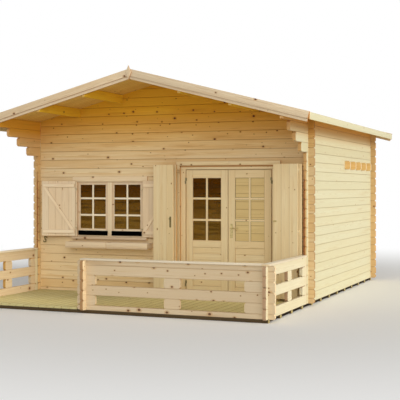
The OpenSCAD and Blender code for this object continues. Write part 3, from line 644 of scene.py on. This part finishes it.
def markGrain(piece):
    # each loose board gets its length, width and depth, a tone, its half width, and which faces are ends
    mesh = piece.data
    spots = np.empty(len(mesh.vertices) * 3)
    mesh.vertices.foreach_get("co", spots)
    spots = spots.reshape(-1, 3)
    owner = list(range(len(spots)))

    def chief(i):
        while owner[i] != i:
            owner[i] = owner[owner[i]]
            i = owner[i]
        return i

    for edge in mesh.edges:
        owner[chief(edge.vertices[0])] = chief(edge.vertices[1])
    boards = {}
    for i in range(len(spots)):
        boards.setdefault(chief(i), []).append(i)
    place = np.zeros((len(spots), 3))
    tones = np.zeros(len(spots))
    halves = np.zeros(len(spots))
    lengthways = {}
    for key, members in boards.items():
        centred = spots[members] - (spots[members].max(0) + spots[members].min(0)) / 2
        axes = np.linalg.svd(centred, full_matrices=False)[2]
        axes = np.array([axis * np.sign(axis[np.argmax(np.abs(axis))]) for axis in axes])
        place[members] = centred @ axes.T
        tones[members] = dice.random()
        halves[members] = np.abs(place[members][:, 1]).max()
        lengthways[key] = axes[0]
    turns = [np.dot(face.normal, lengthways[chief(face.vertices[0])]) for face in mesh.polygons]
    ends = [float(abs(turn) > 0.6) for turn in turns]
    mesh.attributes.new("boardPlace", "FLOAT_VECTOR", "POINT").data.foreach_set("vector", place.ravel())
    mesh.attributes.new("boardTone", "FLOAT", "POINT").data.foreach_set("value", tones)
    mesh.attributes.new("boardHalf", "FLOAT", "POINT").data.foreach_set("value", halves)
    mesh.attributes.new("boardEnd", "FLOAT", "FACE").data.foreach_set("value", ends)


def dress(node, material):
    nodes[node].data.materials.clear()
    nodes[node].data.materials.append(material)


def finishPiece(piece, material, body, stands=(), timber=True, smooth=30):
    pickOnly(piece)
    if timber:
        markGrain(piece)
    bpy.ops.object.shade_smooth_by_angle(angle=math.radians(smooth))
    piece.data.materials.clear()
    piece.data.materials.append(material)
    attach(piece, body)
    if stands:
        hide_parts(*stands)
    return piece


# the log walls and the loft joists: node, look, and for a side wall which way is inward
logNodes = [("front_wall_left", "front", 0), ("front_wall_right", "front", 0),
            ("front_wall_over_door", "front", 0), ("front_gable", "front", 0),
            ("back_wall", "back", 0), ("back_gable", "back", 0),
            ("left_wall", "lee", 1), ("right_wall", "side", -1), ("loft_joists", "loft", 0)]


def dressLogs():
    for count, (node, look, inward) in enumerate(logNodes):
        axis, across = (1, 0) if inward else (0, 1)
        foot = logWalls["sill"] + (0 if inward else logWalls["course"] / 2)
        low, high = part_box(node)
        middle = (low[across] + high[across]) / 2
        seed = logWalls["wallTone"] * count + logWalls["firstTone"]
        dress(node, logSpruce(node + "_spruce", spruceLooks[look], axis, foot, middle, seed, inward))


dressLogs()
print("log walls dressed")

logsOnly = ("front", "back", "lee", "loft")
woods = {name: boardSpruce(name + "_board_spruce", look) for name, look in spruceLooks.items()
         if name not in logsOnly}
steel = metal("yellow_zinc_steel", (0.30, 0.26, 0.14), (0.20, 0.17, 0.09), 0.45)
zinc = metal("pale_zinc", (0.66, 0.54, 0.34), (0.52, 0.42, 0.26), 0.5, 0.5)
brass = metal("aged_brass", (0.62, 0.50, 0.24), (0.44, 0.35, 0.16), 0.30)
bronze = metal("olive_bronze", (0.24, 0.19, 0.07), (0.14, 0.10, 0.035), 0.5, 0.6)
blackBar = metal("black_coated_bar", (0.0008, 0.0008, 0.0008), (0.002, 0.002, 0.002), 0.7, 0.0, 0.0)
# near black: painted shade under the floor
shadeStrip = metal("tarred_strip", (0.020, 0.014, 0.010), (0.032, 0.022, 0.014), 0.8, 0.0, 0.1)
glass = paneGlass("window_panes")

# timber kept from the frame, with its edges planed off: node, look, ease, slot
planedTimber = [
    ("front_rail", "frontRail", 0, "rail_spruce"), ("right_rail", "railSide", 0, "rail_spruce"),
    ("left_rail", "rail", 0, "rail_spruce"), ("rail_planks", "plank", 0.003, "rail_spruce"),
    ("rail_posts", "post", 0.003, "rail_spruce"), ("purlins", "purlin", 0.004, "log_spruce"),
    ("bargeboards", "barge", 0.003, "trim_spruce"), ("bargeboard_covers", "barge", 0.004, "trim_spruce"),
    ("ridge_diamonds", "barge", 0.004, "trim_spruce"), ("eave_fascias", "side", 0.003, "trim_spruce"),
    ("door_frame", "casing", 0.002, "trim_spruce"), ("door_casing", "casing", 0.003, "trim_spruce"),
    ("window_frame", "reveal", 0.002, "trim_spruce"), ("window_casing", "reveal", 0.003, "trim_spruce"),
    ("window_sill", "trim", 0.004, "trim_spruce"), ("planter_box", "trim", 0.002, "trim_spruce"),
    # the floor joists' long faces carry painted shade
    ("floor_joists", "joist", 0.002, "joist_timber"),
]


def planeTimber():
    for node, look, ease, slot in planedTimber:
        piece = planedCopy(node, node + "_planed", ease)
        finishPiece(piece, woods[look], bodyOf[node], [node])


planeTimber()
print("frame timber planed")

# near-black strips between the joist ends, under the side walls and rails: painted shade under the floor
footStrips = {"back": 0.030, "thick": 0.004, "lower": 0.001, "nearEnd": 0.01}


def layStrips():
    size = footStrips
    low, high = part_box("floor_joists")
    points = [point.co for point in nodes["floor_joists"].data.vertices]
    ends = sorted({round(co.y, 4) for co in points if co.x > high.x - size["nearEnd"]})
    sides = (low.x + size["back"], high.x - size["back"] - size["thick"])
    top = high.z - size["lower"]
    parts = [board((side, front + snug, low.z), (side + size["thick"], back - snug, top), plateEase)
             for front, back in zip(ends[1::2], ends[2::2]) for side in sides]
    finishPiece(gather(parts, "foot_strips"), shadeStrip, "cabin", timber=False)


layStrips()
print("foot strips laid")

# veranda deck and inner floor, boards from front to back
deckBoards = {"count": 36, "gap": 0.005, "ease": 0.003, "logThick": 0.045, "logEnd": 0.090, "clear": 0.001}
floorBoards = {"count": 38, "gap": 0.0006, "ease": 0.0015}


def layDeck():
    low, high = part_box("veranda_deck")
    railLow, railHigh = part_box("front_rail")
    clear = deckBoards["clear"]
    behindRail = low.y + deckBoards["logThick"] + clear
    stubLeft = railLow.x + deckBoards["logEnd"] - clear
    stubRight = stubLeft + deckBoards["logThick"] + 2 * clear
    cornerRight = low.x + deckBoards["logEnd"] + clear
    pitch = (high.x - low.x) / deckBoards["count"]
    parts = []
    for i in range(deckBoards["count"]):
        left = low.x + i * pitch + deckBoards["gap"] / 2
        right = left + pitch - deckBoards["gap"]
        front = low.y
        if right > railLow.x - clear or left < cornerRight:
            front = behindRail
        if right > stubLeft and left < stubRight:
            front = railHigh.y + clear
        parts.append(board((left, front, low.z), (right, high.y, high.z), deckBoards["ease"]))
    deck = gather(parts, "veranda_deck_boards")
    finishPiece(deck, woods["deck"], "cabin", ["veranda_deck"])


def layFloor():
    low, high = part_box("interior_floor")
    floor = boardRow(low, high, floorBoards["count"], 0, floorBoards["gap"], floorBoards["ease"])
    floor.name = "inner_floor_boards"
    finishPiece(floor, woods["rail"], "cabin", ["interior_floor"])


layDeck()
layFloor()
print("deck and floor laid")

# roof boards from ridge to eaves, V joints below
roofBoards = {"count": 58, "pitch": 14.5, "gap": 0.0006, "ease": 0.003}


def layRoof(node, side):
    low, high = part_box(node)
    ridge, eave = (low.x, high.x) if side > 0 else (high.x, low.x)
    step = (high.y - low.y) / roofBoards["count"]
    drop = (abs(eave) - abs(ridge)) * math.tan(math.radians(roofBoards["pitch"]))
    thick = (high.z - low.z) - drop
    piece = block((min(ridge, eave), low.y, high.z - thick),
                  (max(ridge, eave), low.y + step - roofBoards["gap"], high.z))
    middle = (ridge + eave) / 2
    pickPoints(piece, lambda co: (co.x - middle) * side > 0)
    movePicked(z=-drop)
    pickEdges(piece, lambda a, b: abs(a.x - b.x) > step)  # the long edges, down the slope
    easePicked(roofBoards["ease"])
    repeat(piece, roofBoards["count"], (0, step, 0))
    piece.name = node + "_boards"
    finishPiece(piece, woods["roof"], "cabin", [node])


layRoof("roof_left", -1)
layRoof("roof_right", 1)
print("roof laid")

# glazing bars: a grid of panes, inset and cut through; the middle row may be taller
paneGrid = {"cols": 2, "rows": 3, "ease": 0.0015}
windowBars = {"bar": 0.028, "bead": 0.003, "front": 0.008, "back": 0.010, "rowShift": 0.011}
doorBars = {"bar": 0.030, "bead": 0.003, "front": 0.010, "back": 0.012, "rowShift": 0}
# the right leaf's near-black rebate: painted shade lines round its panes
shadeRebateBars = {"bar": 0.037, "bead": 0.0065, "front": 0.003, "rowShift": 0}


def glazingGrid(left, right, foot, top, front, depth, bars):
    wide, tall = right - left, top - foot
    gridWide = wide + bars["bar"] - 2 * bars["bead"]
    gridTall = tall + bars["bar"] - 2 * bars["bead"]
    pickNone()
    bpy.ops.mesh.primitive_grid_add(x_subdivisions=paneGrid["cols"], y_subdivisions=paneGrid["rows"], size=1,
                                    rotation=(math.pi / 2, 0, 0))
    grid = bpy.context.active_object
    grid.scale = (gridWide, gridTall, 1)
    settle(grid)
    enterEdit()
    bpy.ops.mesh.select_mode(type="FACE")
    bpy.ops.mesh.select_all(action="SELECT")
    bpy.ops.mesh.inset(thickness=bars["bar"] / 2, use_individual=True)
    bpy.ops.mesh.delete(type="FACE")
    leaveEdit()
    # the rim is drawn in to a narrow bead
    pickPoints(grid, lambda co: abs(co.x) > gridWide / 2 - hair)
    stretchPicked(x=wide / gridWide)
    pickPoints(grid, lambda co: abs(co.z) > gridTall / 2 - hair)
    stretchPicked(z=tall / gridTall)
    if bars["rowShift"]:
        barHeight = gridTall / paneGrid["rows"] / 2
        for way in (1, -1):
            pickPoints(grid, lambda co: abs(co.z * way - barHeight) < bars["bar"])
            movePicked(z=way * bars["rowShift"])
    pickPoints(grid, lambda co: True)
    bpy.ops.mesh.extrude_region_move(TRANSFORM_OT_translate={"value": (0, depth, 0)})
    bpy.ops.mesh.select_all(action="SELECT")
    bpy.ops.mesh.normals_make_consistent(inside=False)
    leaveEdit()
    easeEdges(grid, paneGrid["ease"])
    grid.location = ((left + right) / 2, front, (foot + top) / 2)
    return settle(grid)


# window sashes: stiles, rails and bars either side of the glass
sashTimber = {"stile": 0.034, "topRail": 0.034, "bottomRail": 0.076, "halfPost": 0.0393, "ease": 0.002}


def framePieces(left, right, foot, top, front, back, stile, rails, ease):
    # stiles run through, rails stand between them
    parts = [board((left, front, foot), (left + stile, back, top), ease),
             board((right - stile, front, foot), (right, back, top), ease)]
    for low, high in rails:
        parts.append(board((left + stile, front, low), (right - stile, back, high), ease))
    return parts


def makeSashes():
    low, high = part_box("window_sashes")
    glassLow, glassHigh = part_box("window_glass")
    size = sashTimber
    middle = (low.x + high.x) / 2
    foot, top = low.z + size["bottomRail"], high.z - size["topRail"]
    front = glassLow.y - windowBars["front"] - snug
    parts, bars = [], []
    for left, right in ((low.x, middle - size["halfPost"]), (middle + size["halfPost"], high.x)):
        parts += framePieces(left, right, low.z, high.z, low.y, high.y, size["stile"],
                             [(low.z, foot), (top, high.z)], size["ease"])
        light = (left + size["stile"], right - size["stile"], foot, top)
        bars.append(glazingGrid(*light, front, windowBars["front"], windowBars))
        bars.append(glazingGrid(*light, glassHigh.y + snug, windowBars["back"], windowBars))
    sashes = gather(parts, "window_sash_timber")
    finishPiece(sashes, woods["ledge"], "cabin", ["window_sashes"])
    finishPiece(gather(bars, "window_glazing_bars"), woods["plank"], "cabin")
    dress("window_glass", glass)


# black bars under the sashes
sashFootBars = {"foot": 0.956, "top": 1.0275, "out": 0.020, "slope": 0.013, "lip": 0.006, "inset": 0.012}


def makeSashFootBars():
    size = sashFootBars
    low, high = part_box("window_sashes")
    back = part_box("window_frame")[0].y - snug
    front = back - size["out"]
    middle, half = (low.x + high.x) / 2, sashTimber["halfPost"]
    parts = []
    for left, right in ((low.x + size["inset"], middle - half), (middle + half, high.x - size["inset"])):
        bar = block((left, front, size["foot"]), (right, back, size["top"]))
        pickEdges(bar, lambda a, b: max(a.y, b.y) < front + hair and min(a.z, b.z) > size["top"] - hair)
        easePicked(size["slope"], 3)
        pickEdges(bar, lambda a, b: max(a.y, b.y) < front + hair and max(a.z, b.z) < size["foot"] + hair)
        easePicked(size["lip"], 2)
        parts.append(bar)
    finishPiece(gather(parts, "sash_rain_bars"), blackBar, "cabin", timber=False)


makeSashes()
makeSashFootBars()
print("window made")

# door leaves: stiles, rails, boards in the lower panels, hinge halves
doorLeaf = {"width": 0.668, "height": 1.864, "thick": 0.040, "stile": 0.106, "topRail": 0.119,
            "bottomRail": 0.130, "midLow": 0.708, "midHigh": 0.810, "ease": 0.003, "panelBoards": 6,
            "panelEase": 0.004}
doorHinge = {"radius": 0.007, "rim": 0.0015, "half": 0.0445, "tab": 0.016, "tabThick": 0.0055,
             "fromEnd": 0.160}


def makeLeaf(side):
    low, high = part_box(side)
    size = doorLeaf
    left, right = (high.x - size["width"], high.x) if side == "door_left" else (low.x, low.x + size["width"])
    foot, front = low.z, high.y - size["thick"]
    top = foot + size["height"]
    lightFoot, lightTop = foot + size["midHigh"], top - size["topRail"]
    rails = [(foot, foot + size["bottomRail"]), (foot + size["midLow"], lightFoot), (lightTop, top)]
    parts = framePieces(left, right, foot, top, front, high.y, size["stile"], rails, size["ease"])
    finishPiece(gather(parts, side + "_frame"), woods["door"], side, [side])
    hangLeaf(side, foot, top, front)
    panelLow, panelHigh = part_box(side + "_panel")
    panel = boardRow(panelLow, panelHigh, size["panelBoards"], 2, snug, size["panelEase"])
    panel.name = side + "_panel_boards"
    finishPiece(panel, woods["door"], side, [side + "_panel"])
    barLeaf(side, (left + size["stile"], right - size["stile"], lightFoot, lightTop))


def hangLeaf(side, foot, top, front):
    # the leaf's knuckles on the hinge line, each with its tab
    size = doorHinge
    x, y = jointAt[side + "_hinge"][:2]
    left, right = sorted((x, x + size["tab"] * (1 if side == "door_left" else -1)))
    tabFront, tabBack = front - size["tabThick"], front - snug
    parts = []
    for z in (foot + size["fromEnd"], top - size["fromEnd"]):
        parts += [rod(size["radius"], (x, y, z + snug), 2, size["half"], size["rim"]),
                  board((left, tabFront, z + snug), (right, tabBack, z + size["half"]), plateEase)]
    finishPiece(gather(parts, side + "_hinge_halves"), steel, side, timber=False)


def barLeaf(side, light):
    # bars before and behind the pane; behind the right leaf's bars are boards, and a near-black rebate paints
    # shade lines round each pane
    paneLow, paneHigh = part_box("door_left_glass")
    bars = [glazingGrid(*light, paneLow.y - doorBars["front"] - snug, doorBars["front"], doorBars)]
    if side == "door_left":
        bars.append(glazingGrid(*light, paneHigh.y + snug, doorBars["back"], doorBars))
    finishPiece(gather(bars, side + "_glazing_bars"), woods["door"], side)
    if side == "door_right":
        deep = shadeRebateBars["front"]
        rebate = glazingGrid(*light, paneLow.y - deep - snug / 2, deep, shadeRebateBars)
        rebate.name = side + "_rebate"
        finishPiece(rebate, woods["joist"], side)


# boards that close the right leaf's light
blindBoards = {"count": 8, "ease": 0.003}


def makeBlind():
    low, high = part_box("door_right_boards")
    blind = boardRow(low, high, blindBoards["count"], 2, snug, blindBoards["ease"])
    blind.name = "door_right_blind_boards"
    finishPiece(blind, woods["blind"], "door_right", ["door_right_boards"])


makeLeaf("door_left")
makeLeaf("door_right")
makeBlind()
dress("door_left_glass", glass)
dress("door_handle", brass)
dress("door_hinge_pins", steel)
dress("shutter_hinge_pins", zinc)
print("door leaves made")

# window shutters: upright boards, two ledges and a brace
shutterTimber = {"width": 0.562, "edge": 0.014, "inset": 0.014, "boards": 5, "boardFace": 0.002,
                 "boardThick": 0.018, "ledgeThick": 0.016, "ledge": 0.056, "ledgeUp": 0.044, "ease": 0.003,
                 "braceBack": 0.001, "braceEase": 0.0021, "rest": 14}
shutterHinge = {"radius": 0.006, "half": 0.0195, "strap": 0.026, "strapThick": 0.0045, "lowPin": 0.020}


def makeShutter(node, body, spot, way, rest):
    # modelled on its hinge line and swung to rest; way is -1 to open to the left
    low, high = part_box(node)
    size = shutterTimber
    left, right = sorted((way * size["width"], way * size["edge"]))
    face = size["boardFace"]
    boards = boardRow((left, face, low.z), (right, face + size["boardThick"], high.z), size["boards"], 0,
                      snug, size["ease"])
    boards.name = node + "_boards"
    swing(boards, spot, rest)
    finishPiece(boards, woods["trim"], body, [node])
    ledges = ledgeShutter(node, left + size["inset"], right - size["inset"], low.z, high.z, way)
    swing(ledges, spot, rest)
    finishPiece(ledges, woods["ledge"], body)
    straps = strapShutter(node, way)
    swing(straps, spot, rest)
    finishPiece(straps, zinc, body, timber=False)


def ledgeShutter(node, left, right, foot, top, way):
    # two ledges, and a brace that leans between them
    size = shutterTimber
    wide, back = size["ledge"], size["boardFace"] - snug
    front = size["boardFace"] - size["ledgeThick"]
    lowFoot, highFoot = foot + size["ledgeUp"], top - size["ledgeUp"] - wide
    parts = [board((left, front, z), (right, back, z + wide), size["ease"]) for z in (lowFoot, highFoot)]
    start = left if way < 0 else right - wide
    brace = block((start, front + size["braceBack"], lowFoot + wide + snug),
                  (start + wide, back, highFoot - snug))
    middle = (lowFoot + highFoot + wide) / 2
    pickPoints(brace, lambda co: co.z < middle)
    movePicked(x=-way * (right - left - wide))
    pickEdges(brace, lambda a, b: True)
    easePicked(size["braceEase"])
    return gather(parts + [brace], node + "_ledges")


def strapShutter(node, way):
    size = shutterHinge
    back = shutterTimber["boardFace"] - snug
    front = shutterTimber["boardFace"] - size["strapThick"]
    pinLow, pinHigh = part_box("shutter_hinge_pins")
    left, right = sorted((0, way * size["strap"]))
    parts = []
    for z in (pinLow.z + size["lowPin"] + snug, pinHigh.z + snug):
        parts += [rod(size["radius"], (0, 0, z), 2, size["half"], plateEase),
                  board((left, front, z), (right, back, z + size["half"]), plateEase)]
    return gather(parts, node + "_straps")


shutterAxis = jointAt["window_shutter_hinge"]
casingLow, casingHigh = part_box("window_casing")
makeShutter("shutter_left", "window_shutter_left", shutterAxis, -1, shutterTimber["rest"])
makeShutter("shutter_right", "cabin", (casingLow.x + casingHigh.x - shutterAxis[0], shutterAxis[1]), 1, 0)
print("window shutters made")

# dark strip under the head of the door casing: a painted shadow line
headShadeStrip = {"tall": 0.024, "thick": 0.004, "ease": 0.001}
doorCasing = {"wide": 0.062}
doorCasingLow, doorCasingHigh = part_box("door_casing")
leftEdge = doorCasingLow.x + doorCasing["wide"]
rightEdge = doorCasingHigh.x - doorCasing["wide"]


def makeHeadShadeStrip():
    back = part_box("door_frame")[0].y
    top = doorCasingHigh.z - doorCasing["wide"]
    bead = board((leftEdge + snug, back - headShadeStrip["thick"], top - headShadeStrip["tall"]),
                 (rightEdge - snug, back - snug, top - snug), headShadeStrip["ease"])
    bead.name = "door_head_bead"
    finishPiece(bead, woods["bead"], "cabin")


# folding door shutters: two boarded panels, folded back beside the door
foldingPair = {"width": 0.366, "height": 1.930, "thick": 0.028, "gap": 0.046, "boards": 3, "ease": 0.003,
               "plate": 0.006, "plateTall": 0.046, "lowHinge": 0.190, "highHinge": 0.114}
leftPair = {"turn": -12.0, "out": 0.1497, "step": 0.0, "rear": "casing", "foldX": -0.366, "armX": -0.007,
            "armReach": 0.1185}
rightPair = {"turn": -1.0, "out": 0.0817, "step": 0.034, "rear": "door", "foldX": -0.006, "armX": 0.035,
             "armReach": 0.0472}


def makeFoldingPair(node, pair, spot, edge):
    # modelled with the rear panel's near edge on the turning line, then swung
    size = foldingPair
    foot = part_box(node)[0].z
    top = foot + size["height"]
    for name, look, right, face, stands in (
            (node + "_front_boards", "door", 0, -size["gap"] - size["thick"], [node]),
            (node + "_rear_boards", pair["rear"], pair["step"], 0, [])):
        panel = boardRow((right - size["width"], face, foot), (right, face + size["thick"], top),
                         size["boards"], 0, snug, size["ease"])
        panel.name = name
        swing(panel, spot, pair["turn"])
        finishPiece(panel, woods[look], "cabin", stands)
    feet = (foot + size["lowHinge"], foot + (size["height"] - size["plateTall"]) / 2, top - size["highHinge"])

    def plate(left, front, back, z):
        return board((left, front, z), (left + size["plate"], back, z + size["plateTall"]), plateEase)

    plates = [plate(pair["foldX"], -size["gap"] + snug, -snug, z) for z in feet]
    plates = gather(plates, node + "_fold_hinges")
    swing(plates, spot, pair["turn"])
    casing = doorCasingLow.y
    arms = [plate(edge + pair["armX"], casing - pair["armReach"], casing - snug, z)
            for z in (feet[0], feet[2])]
    hinges = gather([plates] + arms, node + "_hinges")
    finishPiece(hinges, zinc, "cabin", timber=False)


makeHeadShadeStrip()
leftFold = (leftEdge, doorCasingLow.y - leftPair["out"])
rightFold = (rightEdge + foldingPair["width"] * math.cos(math.radians(rightPair["turn"])),
             doorCasingLow.y - rightPair["out"])
makeFoldingPair("folding_shutter_left", leftPair, leftFold, leftEdge)
makeFoldingPair("folding_shutter_right", rightPair, rightFold, rightEdge)
print("folding shutters made")

# fittings: lever on the left pair, bolt on the right pair, hook that holds the window shutter
foldLever = {"spot": (-0.050, -0.074), "foot": 1.109, "plate": (0.030, 0.160), "plateThick": 0.003,
             "plateEase": 0.0012, "spindle": 0.128, "radius": 0.007, "stand": 0.030, "lever": 0.040,
             "leverRadius": 0.0063, "leverPast": 0.006, "leverEase": 0.003, "screw": 0.004,
             "screwHigh": 0.002, "screwIn": 0.008}
foldBolt = {"along": (-0.362, -0.316), "front": -0.074, "z": 1.222, "plateThick": 0.0025, "plateHalf": 0.010,
            "radius": 0.0045, "past": 0.006, "lift": 0.009, "rim": 0.002, "knobRadius": 0.0027,
            "knobFoot": 0.012, "knob": 0.016, "guide": 0.010, "guideIn": 0.004, "guideHalf": 0.008,
            "guideOut": 0.018, "guideBack": 0.002}
shutterHook = {"spot": (-2.100, 0.876), "tall": 0.084, "wide": 0.056, "thick": 0.0085, "tip": 0.55,
               "bend": 0.62, "stand": 0.022, "pinRadius": 0.006, "pin": 0.034}


def makeLever():
    size = foldLever
    x, face = size["spot"]
    wide, tall = size["plate"]
    foot, top = size["foot"], size["foot"] + tall
    front, up = face - size["plateThick"], foot + size["spindle"]
    parts = [board((x - wide / 2, front, foot), (x + wide / 2, face - snug, top), size["plateEase"], 2),
             rod(size["radius"], (x, front, up), 1, -size["stand"], plateEase),
             rod(size["leverRadius"], (x - size["leverPast"], face - size["stand"], up), 0, size["lever"],
                 size["leverEase"])]
    for z in (foot + size["screwIn"], top - size["screwIn"]):
        parts.append(dome(size["screw"], (x, front, z), 1, size["screwHigh"]))
    lever = gather(parts, "folding_shutter_lever")
    swing(lever, leftFold, leftPair["turn"])
    finishPiece(lever, bronze, "cabin", timber=False)


def makeBolt():
    size = foldBolt
    start, stop = size["along"]
    front, z = size["front"], size["z"]
    parts = [board((start, front - size["plateThick"], z - size["plateHalf"]),
                   (stop, front - snug, z + size["plateHalf"]), plateEase),
             rod(size["radius"], (start - size["past"], front - size["lift"], z), 0,
                 stop - start + 2 * size["past"], size["rim"]),
             rod(size["knobRadius"], ((start + stop) / 2, front - size["knobFoot"], z), 1, -size["knob"],
                 size["rim"])]
    for left in (start + size["guideIn"], stop - size["guideIn"] - size["guide"]):
        parts.append(board((left, front - size["guideOut"], z - size["guideHalf"]),
                           (left + size["guide"], front - size["guideBack"], z + size["guideHalf"]),
                           size["rim"], 2))
    bolt = gather(parts, "folding_shutter_bolt")
    swing(bolt, rightFold, rightPair["turn"])
    finishPiece(bolt, brass, "cabin", timber=False)


def makeHook():
    # wrought hook bent like an S, on a pin in the wall
    size = shutterHook
    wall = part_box("front_wall_left")[0].y
    x, z = size["spot"]
    pickNone()
    bpy.ops.curve.primitive_bezier_curve_add(location=(0, 0, 0))
    bent = bpy.context.active_object
    bent.data.dimensions = "3D"
    line = bent.data.splines[0]
    line.bezier_points.add(3)
    half, reach = size["tall"] / 2, size["wide"] / 2
    tip, bend = half * size["tip"], reach * size["bend"]
    path = [(reach, tip), (0, half), (0, 0), (0, -half), (-reach, -tip)]
    side = [(0.3, 1), (-1, 0), (0.9, -1), (-1, 0), (0.3, 1)]
    for point, (px, pz), (dx, dz) in zip(line.bezier_points, path, side):
        point.handle_left_type = point.handle_right_type = "FREE"
        point.co = (px, 0, pz)
        point.handle_left = (px - dx * bend, 0, pz - dz * bend)
        point.handle_right = (px + dx * bend, 0, pz + dz * bend)
    bent.data.bevel_depth = size["thick"]
    bent.data.bevel_resolution = 3
    bent.data.use_fill_caps = True
    bpy.ops.object.convert(target="MESH")
    bent = bpy.context.active_object
    bent.location = (x, wall - size["stand"], z)
    settle(bent)
    pin = rod(size["pinRadius"], (x, wall - snug, z), 1, -size["pin"], plateEase)
    hook = gather([bent, pin], "shutter_hook")
    finishPiece(hook, bronze, "cabin", timber=False, smooth=60)


makeLever()
makeBolt()
makeHook()
print("fittings made")

# studio: pale floor that fades into white, sunlight from the right and a soft fill from the front
studio = {"floorSize": 160, "floorTone": (0.92, 0.92, 0.91), "white": (1, 1, 1), "fadeFrom": 4.5,
          "fadeTo": 13.0, "sky": 0.36}
lamps = {"sunlight": {"from": (0.88, 0.00, 0.26), "power": 1.53, "soft": 20, "colour": (1.0, 0.95, 0.84)},
         "fill": {"from": (0.40, -0.84, 0.36), "power": 1.39, "soft": 60, "colour": (1.0, 0.99, 0.97)}}


def makeFloor():
    pickNone()
    bpy.ops.mesh.primitive_plane_add(size=studio["floorSize"])
    floor = bpy.context.active_object
    floor.name = "studio_floor"
    material, wire, shader = newMaterial("pale_floor")
    spot = wire.node("TexCoord", out="Object")
    away = wire.node("VectorMath", {"operation": "LENGTH"}, {0: spot}, out="Value")
    shader.inputs["Base Color"].default_value = solid(studio["floorTone"])
    shader.inputs["Roughness"].default_value = 0.9
    shader.inputs["Specular IOR Level"].default_value = 0.0
    glow = wire.node("Emission", None, {"Color": solid(studio["white"]), "Strength": 1.0})
    fade = away.rise(studio["fadeFrom"], studio["fadeTo"]) * wire.plain()
    mixed = wire.node("MixShader", None, {0: fade, 1: Wire(wire.tree, shader.outputs[0]), 2: glow})
    wire.tree.links.new(mixed.socket, wire.tree.nodes["Material Output"].inputs["Surface"])
    floor.data.materials.append(material)


def makeLight():
    world = bpy.data.worlds.new("studio_sky")
    bpy.context.scene.world = world
    world.use_nodes = True
    sky = Wire(world.node_tree)
    strength = sky.plain() * (1.0 - studio["sky"]) + studio["sky"]
    background = sky.tree.nodes["Background"]
    background.inputs["Color"].default_value = solid(studio["white"])
    sky.tree.links.new(strength.socket, background.inputs["Strength"])
    for name, lamp in lamps.items():
        bpy.ops.object.light_add(type="SUN")
        sun = bpy.context.active_object
        sun.name = name
        sun.data.energy = lamp["power"]
        sun.data.angle = math.radians(lamp["soft"])
        sun.data.color = lamp["colour"]
        x, y, z = lamp["from"]
        sun.rotation_euler = (math.atan2(math.hypot(x, y), z), 0, math.atan2(y, x) + math.pi / 2)
    bpy.context.scene.view_settings.view_transform = "Standard"


makeFloor()
makeLight()
print("studio lit")
